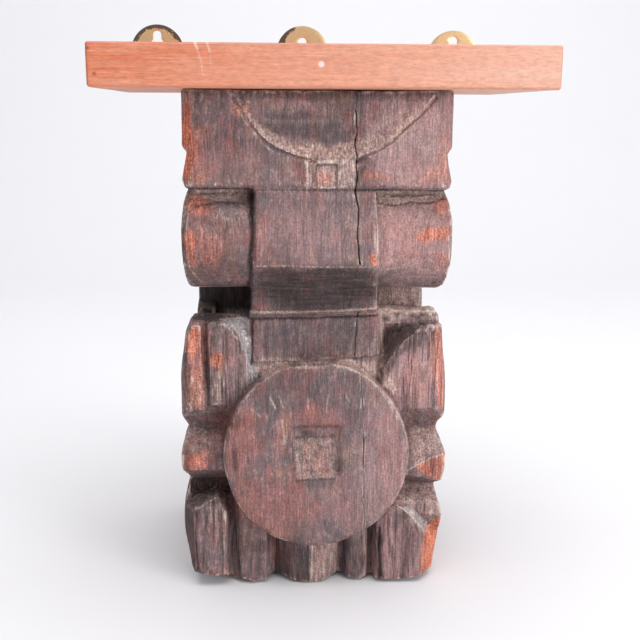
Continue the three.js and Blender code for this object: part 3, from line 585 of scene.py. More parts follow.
def cuts_made(move, places, at, arris, chip_depth):
    """The move with chips off the arrises, and with the chisel lines and the cracks cut in."""
    x, _, level = placed(places)
    chips = ease(0.15, 0.75, unevenness(places, (9, 9, 15), 11))
    move -= arris * (0.25 + chip_depth * chips)
    move -= 1.3 * (field(x, level, *GOUGE, 1.5) * at.front)
    wander = 0.7 * unevenness(places, (5, 5, 7), 12)
    open_part = 0.45 + 0.55 * ease(-0.35, 0.2, unevenness(places, (9, 9, 9), 13))
    for path, wide, deep in CRACKS:
        gap = off_path(x + wander, level, path) / (wide * (1 + 0.6 * at.coarse))
        move -= deep * open_part * np.exp(-gap ** 2) * at.front
    for path, wide, deep in CHISELLED:
        gap = off_path(x + wander, level, path) / wide
        move -= deep * np.exp(-gap ** 2) * at.front
    for path in (PANEL_LINE, PANEL_LINE_RIGHT):
        move -= 1.8 * np.exp(-off_path(x + wander, level + wander, path) ** 2) * at.front
    return move


def carve(mesh, sizes):
    """Moves the block's surface: grain, tool marks, cracks, chips and worn arrises."""
    places, normals, edges = read(mesh)
    x, depth, level = placed(places)
    at = front_masks(places, normals)
    bulge = np.einsum("ij,ij->i", places - relaxed(places, edges, 14), normals)
    arris = ease(0.25, 1.1, bulge)
    move = worked_relief(places, at, sizes.grain / MM)
    move = cuts_made(move, places, at, arris, sizes.chips / MM)
    # Nothing moves where the plank lies on the block, or at the back that lies on the wall.
    seated = (1 - ease(-4, -0.6, level) * ease(0.3, 0.8, normals[:, 2])) * ease(0.2, 3, depth)
    places = places + normals * (move * seated)[:, None]
    # The mouldings were cut a little out of square: lower at their right, where the foot is shorter.
    falling = ease(-8, -50, level) * (1 - ease(-160, -220, level))
    places[:, 2] += ease(10, 95, x) * at.carved * (2.4 * ease(-300, -360, level) - 1.4 * falling)
    places[:, 2] = np.maximum(places[:, 2], FLOOR)
    write(mesh, places)


def finishes(x, level, boss, wander, ragged):
    """Masks of each finish, with painted shade in the dark mask and painted light in the pale one, from
    the tables of spots and of facets.
    """
    masks = {
        "worn": marks(WORN, x, level, wander),
        "scraped": marks(PALE, x, level, [0.4 * w for w in wander]),
        "soot": marks(DARK, x, level, [0.5 * w for w in wander]),
        "ash": np.zeros(len(x)),
    }
    for table, shown in ((FACETS, 1 - boss), (BOSS_FACETS, boss)):
        for name, corners, strength in table:
            mask = strength * region(x + ragged[0], level + ragged[1], corners) * shown
            masks[name] = np.maximum(masks[name], mask)
    return masks


def boss_rim(x, level):
    """A painted shadow as a dark band just outside the boss, faint at its top, and a painted highlight
    along its upper right rim.
    """
    out = BOSS_REACH[0] * (from_boss(x, level) - 1)
    turn = np.arctan2(level - BOSS_CENTRE[1], x - BOSS_CENTRE[0])
    away = 1 - 0.85 * np.exp(-((turn - math.pi / 2) / 0.55) ** 2)
    ring = 0.85 * away * np.exp(-((out - 1.2) / 1.2) ** 2)
    upper_right = ease(-0.3, 0.3, turn) * (1 - ease(1.5, 2.0, turn))
    return ring, 0.75 * upper_right * np.exp(-((out + 1.0) / 0.9) ** 2)


def split_wood(places, x, level):
    """How dark the cracks are, with the painted shade on the neck's left side, and the light lip beside
    those that cross the boss.
    """
    split, lip = np.zeros(len(x)), np.zeros(len(x))
    fray = 0.7 * unevenness(places, (5, 5, 7), 12)
    for path, wide, deep in CRACKS:
        gap = off_path(x + fray, level, path) / wide
        split = np.maximum(split, min(1.0, 0.1 + 0.4 * deep) * np.exp(-gap ** 2))
        if path[0][1] < BOSS_CENTRE[1] + BOSS_REACH[1] + 1:
            lip = np.maximum(lip, np.exp(-((gap - 2.3) / 1.1) ** 2))
    # Painted shade with sooty dirt: the neck's left side, turned away from the light at the right, is near
    # black.
    return np.maximum(split, 0.7 * field(x, level, *NECK_LEFT, 2)), lip


def weather(mesh):
    """Paints where the block is worn red, pale from scraping and dusty, sooty or split, and paints shade
    into its hollows and corners and light onto its lit faces and arrises.
    """
    places, normals, edges = read(mesh)
    x, depth, level = placed(places)
    carved = ease(CARVED_FROM - 4, CARVED_FROM + 2, depth)
    boss = (1 - ease(0.97, 1.0, from_boss(x, level))) * ease(168, 172, depth)
    # How far each point stands out from the shape near it, and from the shape further round it.
    near, wide = (np.einsum("ij,ij->i", places - relaxed(places, edges, rounds), normals)
                  for rounds in (6, 60))
    wander = [5 * unevenness(places, (12, 12, 16), seed) for seed in (21, 22)]
    ragged = [1.2 * unevenness(places, (4, 4, 6), seed) for seed in (25, 26)]
    streaky = 0.5 + 0.5 * unevenness(places, (3, 3, 26), 23)
    patchy = 0.5 + 0.5 * unevenness(places, (7, 7, 9), 24)

    finish = finishes(x, level, boss, wander, ragged)
    worn, pale, dark, ash = (finish[name] * carved for name in ("worn", "scraped", "soot", "ash"))
    faded, ruddy, cool, adzed = (
        marks(table, x, level, [2 * w for w in wander]) * (0.55 + 0.45 * patchy) * carved
        for table in (FADED, RUDDY, COOL, ADZED))

    # Upper faces are paler, partly dusty and partly painted top light, the panel's rim is dusty, and
    # painted shade darkens the faces turned down under the mouldings.
    up, down = ease(0.35, 0.85, normals[:, 2]), ease(0.15, 0.75, -normals[:, 2])
    pale = np.maximum(pale, 0.55 * up * patchy * carved)
    dark = np.maximum(dark, 0.5 * down * carved * (1 - 0.7 * np.clip(pale, 0, 1)))
    panel = inside_panel(x, level)
    broad = 4.0 + 7.0 * np.exp(-((x - 20) / 34) ** 2) + 2.5 * unevenness(places, (9, 9, 9), 27)
    rim = ease(-1.2, 0.4, panel) * (1 - ease(broad - 2, broad + 3, panel)) * field(x, level, *PALE_BAND, 6)
    pale = np.maximum(pale, rim * carved * (0.45 + patchy))

    # Painted shade as lines in the corners and round the boss, and painted highlights on the arrises and
    # the boss's upper right rim.
    ring, lit_rim = boss_rim(x, level)
    seam = drawn(SEAMS, x + 0.4 * ragged[0], level + 0.4 * ragged[1]) * carved
    seam = np.maximum(seam, ring * carved * (0.4 + 0.6 * patchy))
    light = drawn([(path, ARRIS_WIDTH, strength) for path, strength in ARRISES], x, level)
    light = np.maximum(light, lit_rim)
    # The arris mask: pale worn edges, and painted highlights on the arrises and the boss's rim.
    edge = np.maximum(ease(0.12, 0.45, near) * (0.25 + 0.75 * patchy) * (1 - 0.7 * boss),
                      light * (0.65 + 0.35 * streaky))
    edge *= 0.35 + 0.65 * carved
    split, lip = split_wood(places, x, level)
    edge = np.maximum(edge, (0.4 + 0.5 * patchy) * lip * boss)

    # Painted shade fills the hollows, and the petals' open furrows are darkened too.
    open_grain = ease(0.1, 0.5, -unevenness(places, (3.0, 3.0, 45), 3))
    deep_furrows = 0.55 * (level < -162) * (1 - boss) * open_grain
    hollow = np.maximum(0.8 * ease(0.3, 2.4, -wide) * (1 - 0.85 * np.clip(pale, 0, 1)),
                        deep_furrows * carved)
    riven = sum(strength * field(x, level, *area, 3) for area, strength in RIVEN)
    riven = riven * carved * (1 - boss) * (1 - ash)

    # Strokes across the grain leave dark and pale lines where the wood was adzed.
    strokes = unevenness(places, (40, 12, 2.4), 28)
    soot = np.maximum(dark, hollow) * (0.75 + 0.25 * patchy)
    soot = np.maximum(soot * (1 - 0.6 * edge), 0.6 * adzed * ease(0.15, 0.4, strokes)) * (1 - ash)
    pale = np.maximum(pale * (0.5 + 0.6 * patchy), 0.75 * adzed * ease(0.05, 0.4, -strokes) * (1 - dark))
    ledge = field(x, level, *LEDGE_GRIME, 2) * carved * (1 - boss)
    soot = np.maximum(soot, 0.8 * ledge * ease(0.05, 0.45, unevenness(places, (3.5, 3.5, 2.6), 29)))
    worn *= (0.65 + 0.5 * streaky) * (1 - 0.6 * boss)
    paint(mesh, worn=worn, scraped=pale, ash=ash, soot=np.maximum(soot, seam),
          arris=edge * (1 - seam), split=split * carved,
          faded=faded, ruddy=ruddy, cool=cool, adzed=adzed, riven=riven * (0.4 + 0.4 * patchy))


def thinned(mesh, most):
    """The mesh with its plain hidden faces made of fewer triangles, about as many as most in all."""
    places, normals, _ = read(mesh)
    _, depth, _ = placed(places)
    tail = 1 - ease(CARVED_FROM - 14, CARVED_FROM - 2, depth)
    sides = 0.5 * ease(0.6, 0.9, np.abs(normals[:, 0])) * (1 - ease(140, 150, depth))
    level_faces = ease(0.8, 0.95, np.abs(normals[:, 2])) * (depth < 150)
    hidden = np.maximum(np.maximum(tail, sides), level_faces)
    triangles = sum(len(p.vertices) - 2 for p in mesh.polygons)
    return modified(mesh, "DECIMATE", groups=[("plain", np.round(hidden, 1))], vertex_group="plain",
                    ratio=min(1.0, most / triangles))


# The plank.

# Scratches on the plank's front: path, half width and strength.
SCRATCHES = (
    (((-79.5, 28), (-78, 24)), 0.7, 0.8), (((-78, 24), (-76, 17), (-74.5, 8)), 0.4, 0.35),
    (((-72, 28), (-70, 22)), 0.45, 0.6), (((-70, 22), (-69.5, 10)), 0.35, 0.18),
)
# A white speck, as its centre and half sizes, and two dark pins, in from the plank's left end.
SPECK = ((0.5, 15), (1.9, 1.9))
PINS = ((1.5, 23.8), (5.2, 8.2))
PIN_SIZE = (1.3, 1.2)
PLANK_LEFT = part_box(PLANK)[0][0] / MM
PLANK_FRONT = round(-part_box(PLANK)[0][1] / MM, 1)


def near_marks(points):
    """Which points of the plank's front are close to a scratch, the speck or the left end."""
    x, depth, level = placed(points)
    close = (np.hypot(x - SPECK[0][0], level - SPECK[0][1]) < 5) | (x < PLANK_LEFT + 9)
    for path, *_ in SCRATCHES:
        close |= off_path(x, level, path) < 7
    return close & (depth > PLANK_FRONT - 2)


def gridded(mesh, step):
    """The mesh cut into a grid: across every step, up every half step, and close to its edges."""
    bm = bmesh.new()
    bm.from_mesh(mesh)
    margin = 2 * MM
    for axis, spacing in enumerate((step, 2 * step, step / 2)):
        ends = [v.co[axis] for v in bm.verts]
        low, high = min(ends) + margin, max(ends) - margin
        for at in (*np.arange(low, high - spacing / 2, spacing), high):
            through = [0.0, 0.0, 0.0]
            facing = [0.0, 0.0, 0.0]
            through[axis] = at
            facing[axis] = 1.0
            bmesh.ops.bisect_plane(bm, geom=[*bm.verts, *bm.edges, *bm.faces], plane_co=through,
                                   plane_no=facing)
    bm.to_mesh(mesh)
    bm.free()
    return mesh


def waved(mesh):
    """Gives the planed surface slight waves but not the back, and says where its points were."""
    places, normals, _ = read(mesh)
    _, depth, _ = placed(places)
    dents = ease(0, 0.6, unevenness(places, (30, 12, 12), 31))
    move = 0.18 * unevenness(places, (60, 14, 14), 32) - 0.1 * dents
    moved = places + normals * (move * ease(6, 12, depth))[:, None]
    write(mesh, moved)
    return places, moved


def handle(mesh, straight, places):
    """Paints the plank's pins, dark edges, scratches and speck, from where its points were and are."""
    x, depth, level = placed(straight)
    left, right = x.min(), x.max()
    pins = [spot(x, level, (left + along, up), PIN_SIZE) for along, up in PINS]
    from_edge = np.minimum(np.minimum(level, level.max() - level), np.minimum(x - left, right - x))
    # The front is darker along its edges.
    worn_edge = 0.45 * (1 - ease(1.0, 2.0, from_edge)) * (0.6 + 0.4 * unevenness(places, (14, 14, 14), 34))
    end = 0.4 * ease(4, 0, x - left) * (0.5 + 0.5 * unevenness(places, (6, 6, 6), 35))
    front = ease(PLANK_FRONT - 4, PLANK_FRONT - 2, depth)
    scratched = np.maximum(spot(x, level, *SPECK, 0.3), drawn(SCRATCHES, x, level))
    paint(mesh, grimy=np.maximum.reduce([*pins, worn_edge, end]) * front, scratched=scratched * front)


# The brass plates and their screws.

TARNISH = {"hanger_left": 0.7, "hanger_middle": 0.3, "hanger_right": 0.25}
SCREW_TARNISH = 0.3
SCREW_EDGE = 0.12


def tarnished(node, places):
    """How tarnished a plate is: from its rim in, and the middle one also towards its left."""
    low, high = (np.array(corner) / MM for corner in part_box(node))
    middle = (low[0] + high[0]) / 2
    radius = (high[0] - low[0]) / 2
    from_centre = np.hypot(places[:, 0] - middle, np.maximum(places[:, 2] - (high[2] - radius), 0))
    rim = ease(radius - 9, radius - 0.5, from_centre)
    left = ease(0, -radius, places[:, 0] - middle) if node == "hanger_middle" else 0
    return TARNISH[node] * rim + 0.75 * left * rim


def stamped(mesh, edge):
    """The mesh with its flats joined, its sharp edges rounded and its faces divided for tarnish."""
    bm = bmesh.new()
    bm.from_mesh(mesh)
    bmesh.ops.dissolve_limit(bm, angle_limit=math.radians(1), verts=bm.verts, edges=bm.edges)
    sharp = [e for e in bm.edges if e.is_manifold and e.calc_face_angle() > math.radians(40)]
    bmesh.ops.bevel(bm, geom=sharp, offset=edge, offset_type="OFFSET", segments=2, profile=0.5,
                    affect="EDGES", material=-1, clamp_overlap=True)
    bmesh.ops.triangulate(bm, faces=[f for f in bm.faces if len(f.verts) > 4])
    for _ in range(2):
        long_edges = [e for e in bm.edges if e.calc_length() > 3 * MM]
        bmesh.ops.subdivide_edges(bm, edges=long_edges, cuts=1, use_grid_fill=False)
        bmesh.ops.triangulate(bm, faces=[f for f in bm.faces if len(f.verts) > 4])
    bm.to_mesh(mesh)
    bm.free()
    mesh.shade_smooth()
    mesh.set_sharp_from_angle(angle=math.radians(35))
    return mesh


# Materials.

def add_node(tree, kind, inputs=None, **settings):
    """Adds a node with its settings. An input that is another node's output is linked."""
    node = tree.nodes.new(kind)
    for name, value in settings.items():
        setattr(node, name, value)
    for name, value in (inputs or {}).items():
        if isinstance(value, bpy.types.NodeSocket):
            tree.links.new(value, node.inputs[name])
        else:
            node.inputs[name].default_value = value
    return node


def new_material(name):
    """An empty node material and its tree."""
    material = bpy.data.materials.new(name)
    material.use_nodes = True
    material.node_tree.nodes.clear()
    return material, material.node_tree


def shade(tree, inputs):
    """Ends a material in a principled shader."""
    shader = add_node(tree, "ShaderNodeBsdfPrincipled", inputs)
    add_node(tree, "ShaderNodeOutputMaterial", {"Surface": shader.outputs["BSDF"]})


def per_metre(size_mm):
    """Scale of a noise node whose bumps are about that size."""
    return 1 / (size_mm * MM)


def layered(tree, base, layers):
    """The colour with others laid over it, each where its pattern lies between low and high."""
    for pattern, colour, low, high, most in layers:
        amount = add_node(tree, "ShaderNodeMapRange", {
            "Value": pattern, "From Min": low, "From Max": high, "To Max": most})
        base = add_node(tree, "ShaderNodeMix", {0: amount.outputs["Result"], 6: base, 7: (*colour, 1)},
                        data_type="RGBA").outputs[2]
    return base


def stained(tree, base, stains):
    """The colour with others laid over it, each by a mask and how much of it may cover."""
    for mask, colour, most in stains:
        amount = add_node(tree, "ShaderNodeMath", {0: mask, 1: most}, operation="MULTIPLY", use_clamp=True)
        base = add_node(tree, "ShaderNodeMix", {0: amount.outputs[0], 6: base, 7: (*colour, 1)},
                        data_type="RGBA").outputs[2]
    return base


def toned(tree, base, patterns):
    """The colour made darker and lighter by patterns, each with its darkest and lightest."""
    for pattern, darkest, lightest in patterns:
        tone = add_node(tree, "ShaderNodeMapRange", {
            "Value": pattern, "From Min": 0.3, "From Max": 0.7, "To Min": darkest, "To Max": lightest})
        base = add_node(tree, "ShaderNodeVectorMath", {0: base, "Scale": tone.outputs["Result"]},
                        operation="SCALE").outputs["Vector"]
    return base


def wood_patterns(tree, masks):
    """The carved wood's patterns. Fibres and pores are drawn coarser than real ones, as they show."""
    place = add_node(tree, "ShaderNodeTexCoord").outputs["Object"]
    # The grain runs up the block, so its pattern is drawn out 12 times along Z, the pores' 3 times
    # and the stains' twice. Furrows are 14 times as long as wide, and so are strokes, along X.
    along, short, drawn_out, open_grain, across = (
        add_node(tree, "ShaderNodeMapping", {"Vector": place, "Scale": scale}).outputs["Vector"]
        for scale in ((1, 1, 1 / 12), (1, 1, 0.3), (1, 1, 0.5), (1, 1, 1 / 14), (1 / 14, 1, 1)))
    # Growth rings about 4 mm apart, fibres of 1.1 mm, pores of 0.9 mm, grit of 1.4 mm, grime of
    # 5 mm, furrows of 2.2 mm and adze strokes of 1.6 mm.
    found = {}
    for name, vector, size, detail, roughness in (
            ("rings", along, 4, 3.0, 0.5), ("fibres", along, 1.1, 3.0, 0.6),
            ("pores", short, 0.9, 2.0, 0.5), ("grit", place, 1.4, 3.0, 0.5),
            ("grime", place, 5, 5.0, 0.5), ("furrows", open_grain, 2.2, 2.0, 0.5),
            ("strokes", across, 1.6, 4.0, 0.65)):
        found[name] = add_node(tree, "ShaderNodeTexNoise", {
            "Vector": vector, "Scale": per_metre(size), "Detail": detail,
            "Roughness": roughness}).outputs["Fac"]
    # Stains from 22 mm down to 3.5 mm wide, each shifted so that they fall apart.
    found["stains"] = []
    for size, shift in ((22, 0.0), (9, 0.31), (15, 0.67), (12, 0.93), (4.5, 1.3), (3.5, 1.7)):
        vector = add_node(tree, "ShaderNodeMapping", {"Vector": drawn_out, "Location": (shift, 0, 0)})
        found["stains"].append(add_node(tree, "ShaderNodeTexNoise", {
            "Vector": vector.outputs["Vector"], "Scale": per_metre(size), "Detail": 6.0,
            "Roughness": 0.66}).outputs["Fac"])
    # Strokes take the fibres' place where the wood was cut across.
    found["lines"] = add_node(tree, "ShaderNodeMix", {
        0: masks["adzed"], 2: found["fibres"], 3: found["strokes"]}, data_type="FLOAT").outputs[0]
    open_part = add_node(tree, "ShaderNodeMapRange", {
        "Value": found["furrows"], "From Min": 0.47, "From Max": 0.36})
    found["furrow"] = add_node(tree, "ShaderNodeMath", {0: open_part.outputs["Result"], 1: masks["riven"]},
                               operation="MULTIPLY").outputs[0]
    return found


def worked_finishes(tree, base, colours, found, masks):
    """The wood's colour with pale, ashen and worn faces and light arrises, broken by the grain. The pale
    faces carry painted light as well as scraping, and the light arrises are painted highlights on worn
    pale edges.
    """
    broken = add_node(tree, "ShaderNodeMath", {0: found["grime"], 1: found["fibres"]}, operation="ADD")
    mottled = add_node(tree, "ShaderNodeMath", {0: found["grit"], 1: found["fibres"]}, operation="ADD")
    tones = add_node(tree, "ShaderNodeMapRange", {
        "Value": mottled.outputs[0], "From Min": 0.72, "From Max": 1.28})
    for name, colour, second, low, high in (
            ("scraped", colours.scraped, colours.dust, 0.9, 1.5),
            ("ash", colours.ash, colours.pale_ash, 0.9, 1.2),
            ("worn", colours.worn, colours.bright, 0.85, 1.45),
            ("arris", colours.dust, colours.chalky, 1.15, 1.65)):
        reach = add_node(tree, "ShaderNodeMath", {0: masks[name], 1: broken.outputs[0]}, operation="ADD")
        cover = add_node(tree, "ShaderNodeMapRange", {
            "Value": reach.outputs[0], "From Min": low, "From Max": high, "To Max": 0.95})
        tone = add_node(tree, "ShaderNodeMix", {
            0: tones.outputs["Result"], 6: (*colour, 1), 7: (*second, 1)}, data_type="RGBA")
        guard = add_node(tree, "ShaderNodeMath", {0: cover.outputs["Result"], 1: masks[name]},
                         operation="MULTIPLY")
        base = add_node(tree, "ShaderNodeMix", {0: guard.outputs[0], 6: base, 7: tone.outputs[2]},
                        data_type="RGBA").outputs[2]
    return base


def carved_wood(colours):
    """Old teak, adzed and chiselled, sooty and handled, with painted shade in its hollows and painted
    light on its lit faces: matt in the hollows, waxy on worn faces.
    """
    material, tree = new_material("aged_carved_teak")
    masks = {name: add_node(tree, "ShaderNodeAttribute", attribute_name=name).outputs["Fac"]
             for name in ("worn", "scraped", "ash", "soot", "arris", "split", "faded", "ruddy", "cool",
                          "adzed", "riven")}
    found = wood_patterns(tree, masks)
    stains = found["stains"]
    layers = layered(tree, (*colours.mauve, 1), (
        (stains[0], colours.brown, 0.42, 0.6, 0.85), (stains[1], colours.grey, 0.5, 0.64, 0.8),
        (stains[2], colours.red_brown, 0.5, 0.66, 0.7), (stains[3], colours.tan, 0.54, 0.68, 0.6),
        (found["rings"], colours.red_brown, 0.55, 0.75, 0.25), (stains[4], colours.grey, 0.5, 0.62, 0.6),
        (stains[5], colours.fleck, 0.52, 0.7, 0.42), (found["pores"], colours.fleck, 0.56, 0.78, 0.25)))
    layers = stained(tree, layers, (
        (masks["cool"], colours.grey, 0.7), (masks["ruddy"], colours.red_brown, 0.62),
        (masks["faded"], colours.washed, 0.62)))
    layers = worked_finishes(tree, layers, colours, found, masks)
    layers = toned(tree, layers, (
        (found["lines"], 0.68, 1.28), (found["grit"], 0.72, 1.25), (found["rings"], 0.84, 1.16)))
    # Sooty dirt and painted shade lie thinner on the grain's raised lines.
    thin = add_node(tree, "ShaderNodeMapRange", {
        "Value": found["lines"], "From Min": 0.4, "From Max": 0.62, "To Min": 1.0, "To Max": 0.72})
    layers = stained(tree, layers, (
        (masks["soot"], colours.soot, thin.outputs["Result"]), (masks["split"], colours.soot, 1.0),
        (found["furrow"], colours.soot, 0.8)))

    relief = add_node(tree, "ShaderNodeMath", {0: found["lines"], 1: 1.4}, operation="MULTIPLY")
    for name in ("grit", "pores"):
        relief = add_node(tree, "ShaderNodeMath", {0: relief.outputs[0], 1: found[name]}, operation="ADD")
    relief = add_node(tree, "ShaderNodeMath", {0: found["furrow"], 1: -1.6, 2: relief.outputs[0]},
                      operation="MULTIPLY_ADD")
    bump = add_node(tree, "ShaderNodeBump", {
        "Height": relief.outputs[0], "Strength": 1.0, "Distance": 0.45 * MM})
    gloss = add_node(tree, "ShaderNodeMapRange", {
        "Value": masks["soot"], "From Min": 0.0, "From Max": 1.0, "To Min": 0.4, "To Max": 0.75})
    rough = add_node(tree, "ShaderNodeMath", {0: found["grime"], 1: 0.25, 2: gloss.outputs["Result"]},
                     operation="MULTIPLY_ADD")
    shade(tree, {"Base Color": layers, "Roughness": rough.outputs[0], "Normal": bump.outputs["Normal"],
                 "IOR": 1.5})
    return material


def plank_wood(colours):
    """Planed and oiled red hardwood: fine straight grain, satin, paler towards the right from rubbing and
    from a painted sheen of the light at the right.
    """
    material, tree = new_material("oiled_red_hardwood")
    place = add_node(tree, "ShaderNodeTexCoord").outputs["Object"]
    # The grain runs along the plank: 22 times as long as wide, the pores 8 times, the flecks 3.
    along, short, fleck = (
        add_node(tree, "ShaderNodeMapping", {"Vector": place, "Scale": (scale, 1, 1)}).outputs["Vector"]
        for scale in (1 / 22, 0.12, 0.3))
    # Bands of grain 7 mm wide, fibres of 1.5 mm and pores of 1 mm, both drawn coarser than real
    # ones, blotches of 14 mm and flecks of 1.5 mm.
    bands, fibres, pores, blotch, flecks = (
        add_node(tree, "ShaderNodeTexNoise", {
            "Vector": vector, "Scale": per_metre(size), "Detail": detail,
            "Roughness": roughness}).outputs["Fac"]
        for vector, size, detail, roughness in (
            (along, 7, 3.0, 0.5), (along, 1.5, 4.0, 0.6), (short, 1.0, 2.0, 0.5), (short, 14, 3.0, 0.5),
            (fleck, 1.5, 4.0, 0.7)))
    # Paler towards the right: rubbing, and a painted sheen from the light at the right.
    ends = add_node(tree, "ShaderNodeSeparateXYZ", {"Vector": place})
    reach = add_node(tree, "ShaderNodeMath", {0: blotch, 1: 0.16, 2: ends.outputs["X"]},
                     operation="MULTIPLY_ADD")
    layers = layered(tree, (*colours.oiled, 1), (
        (reach.outputs[0], colours.rubbed, -0.09, 0.22, 1.0), (bands, colours.band, 0.35, 0.7, 0.55),
        (fibres, colours.fibre, 0.42, 0.7, 0.5), (pores, colours.pore, 0.58, 0.75, 0.3)))
    layers = toned(tree, layers, ((flecks, 0.84, 1.16),))
    grimy, scratched = (add_node(tree, "ShaderNodeAttribute", attribute_name=name).outputs["Fac"]
                        for name in ("grimy", "scratched"))
    layers = stained(tree, layers, ((grimy, colours.pore, 0.7), (scratched, colours.chalk, 0.75)))
    relief = add_node(tree, "ShaderNodeMath", {0: fibres, 1: pores}, operation="SUBTRACT")
    bump = add_node(tree, "ShaderNodeBump", {
        "Height": relief.outputs[0], "Strength": 0.5, "Distance": 0.15 * MM})
    rough = add_node(tree, "ShaderNodeMapRange", {
        "Value": bands, "From Min": 0.3, "From Max": 0.7, "To Min": 0.42, "To Max": 0.58})
    shade(tree, {"Base Color": layers, "Roughness": rough.outputs["Result"],
                 "Normal": bump.outputs["Normal"], "IOR": 1.5})
    return material


def old_brass(colours):
    """Stamped and lacquered brass sheet: yellow and satin, tarnished brown-black from its rim in."""
    material, tree = new_material("stamped_brass")
    place = add_node(tree, "ShaderNodeTexCoord").outputs["Object"]
    # Blotches of tarnish 4.5 mm across and spots of 1.2 mm.
    blotch = add_node(tree, "ShaderNodeTexNoise", {
        "Vector": place, "Scale": per_metre(4.5), "Detail": 5.0, "Roughness": 0.7})
    spots = add_node(tree, "ShaderNodeTexNoise", {"Vector": place, "Scale": per_metre(1.2), "Detail": 3.0})
    rim = add_node(tree, "ShaderNodeAttribute", attribute_name="tarnish").outputs["Fac"]
    reach = add_node(tree, "ShaderNodeMath", {0: blotch.outputs["Fac"], 1: rim}, operation="ADD")
    reach = add_node(tree, "ShaderNodeMath", {0: spots.outputs["Fac"], 1: 0.3, 2: reach.outputs[0]},
                     operation="MULTIPLY_ADD")
    cover = add_node(tree, "ShaderNodeMapRange", {
        "Value": reach.outputs[0], "From Min": 1.08, "From Max": 1.2, "To Max": 0.92})
    metal = layered(tree, (*colours.brass, 1), ((spots.outputs["Fac"], colours.dull, 0.4, 0.7, 0.6),))
    skin = add_node(tree, "ShaderNodeMix", {
        0: cover.outputs["Result"], 6: metal, 7: (*colours.tarnish, 1)}, data_type="RGBA").outputs[2]
    rough = add_node(tree, "ShaderNodeMapRange", {
        "Value": cover.outputs["Result"], "To Min": 0.36, "To Max": 0.7})
    bare = add_node(tree, "ShaderNodeMapRange", {
        "Value": cover.outputs["Result"], "To Min": 1.0, "To Max": 0.35})
    bump = add_node(tree, "ShaderNodeBump", {
        "Height": spots.outputs["Fac"], "Strength": 0.3, "Distance": 0.08 * MM})
    shade(tree, {"Base Color": skin, "Metallic": bare.outputs["Result"],
                 "Roughness": rough.outputs["Result"], "Normal": bump.outputs["Normal"]})
    return material


def sweep_paper(colour):
    """Matt white background paper: no gloss, an even pale tone."""
    material, tree = new_material("matt_background_paper")
    place = add_node(tree, "ShaderNodeTexCoord").outputs["Object"]
    mottle = add_node(tree, "ShaderNodeTexNoise", {"Vector": place, "Scale": per_metre(90), "Detail": 2.0})
    tone = add_node(tree, "ShaderNodeMix", {
        0: mottle.outputs["Fac"], 6: (*colour, 1), 7: (*[0.985 * c for c in colour], 1)}, data_type="RGBA")
    shade(tree, {"Base Color": tone.outputs[2], "Roughness": 0.9, "Specular IOR Level": 0.2})
    return material


def colour(name, code, description):
    """A colour setting with its default given as a hex code."""
    return FloatVectorProperty(name=name, description=description, default=linear(code), subtype="COLOR",
                               size=3, min=0.0, max=1.0)


def length(name, millimetres, description):
    """A length setting with its default given in millimetres."""
    return FloatProperty(name=name, description=description, default=millimetres * MM, min=0.0,
                         subtype="DISTANCE", unit="LENGTH")


class CarvedBlockSettings(bpy.types.PropertyGroup):
    """Sizes and colours of the carved block."""
    step: length("Surface step", 1.55, "Distance between the points of the carved surface")
    grain: length("Grain depth", 0.32, "Depth of the furrows between the wood's fibres")
    chips: length("Chip depth", 1.5, "How far chips cut into the arrises")
    mauve: colour("Mauve", "886B6D", "Weathered wood in the cooler patches")
    # Pale pink for handled wood and for the painted light from the right.
    washed: colour("Washed", "CCA6A4", "Paler wood that was handled and washed")
    brown: colour("Brown", "6E5952", "Weathered wood in the warmer patches")
    grey: colour("Grey", "5C5055", "Smoked patches")
    red_brown: colour("Red brown", "9A5850", "Patches and growth rings that show red")
    tan: colour("Tan", "9A7A62", "Ochre patches")
    fleck: colour("Fleck", "C9AEAE", "Pale dusty fibres")
    worn: colour("Worn", "A04A38", "Wood worn down to its red heart")
    bright: colour("Bright worn", "F08C64", "Freshest wear")
    # Pale wood from scraping, also used for painted light on lit faces.
    scraped: colour("Scraped", "A48278", "Scraped and dusty wood")
    # Lightest pale wood, also the painted highlights on the arrises.
    dust: colour("Dust", "DABEB2", "Lightest of the scraped wood")
    # Lightest painted highlights on the arrises.
    chalky: colour("Chalky", "E6D2C6", "Lightest arrises")
    ash: colour("Ash", "928687", "Smooth facets gone grey")
    pale_ash: colour("Pale ash", "C0B5B5", "Lightest of the smooth facets")
    # The near-black colour of sooty grime, also used for painted shade in the hollows and under the
    # mouldings.
    soot: colour("Soot", "130E0C", "Soot and grime in the hollows")


class PlankSettings(bpy.types.PropertyGroup):
    """Sizes and colours of the plank."""
    step: length("Surface step", 7, "Distance between the points of the plank's surface")
    oiled: colour("Oiled", "CE6A42", "Wood at the plank's left, still well oiled")
    # Pale for rubbing and for the painted sheen towards the right.
    rubbed: colour("Rubbed", "E0AE9A", "Paler wood towards the right")
    band: colour("Band", "DA8C6C", "Bands of softer grain")
    fibre: colour("Fibre", "E6AE90", "Pale fibres")
    # Also darkens the plank's front along its edges.
    pore: colour("Pore", "8A4030", "Dark pores and edge grime")
    chalk: colour("Chalk", "F2E6E0", "Scratches and the white speck")


class BrassSettings(bpy.types.PropertyGroup):
    """Sizes and colours of the hanging plates and their screws."""
    edge: length("Edge", 0.35, "Rounding of a stamped edge")
    brass: colour("Brass", "F5D4A4", "Clean lacquered brass")
    dull: colour("Dull brass", "E0BC8E", "Handled brass")
    tarnish: colour("Tarnish", "33292A", "Brown-black tarnish")


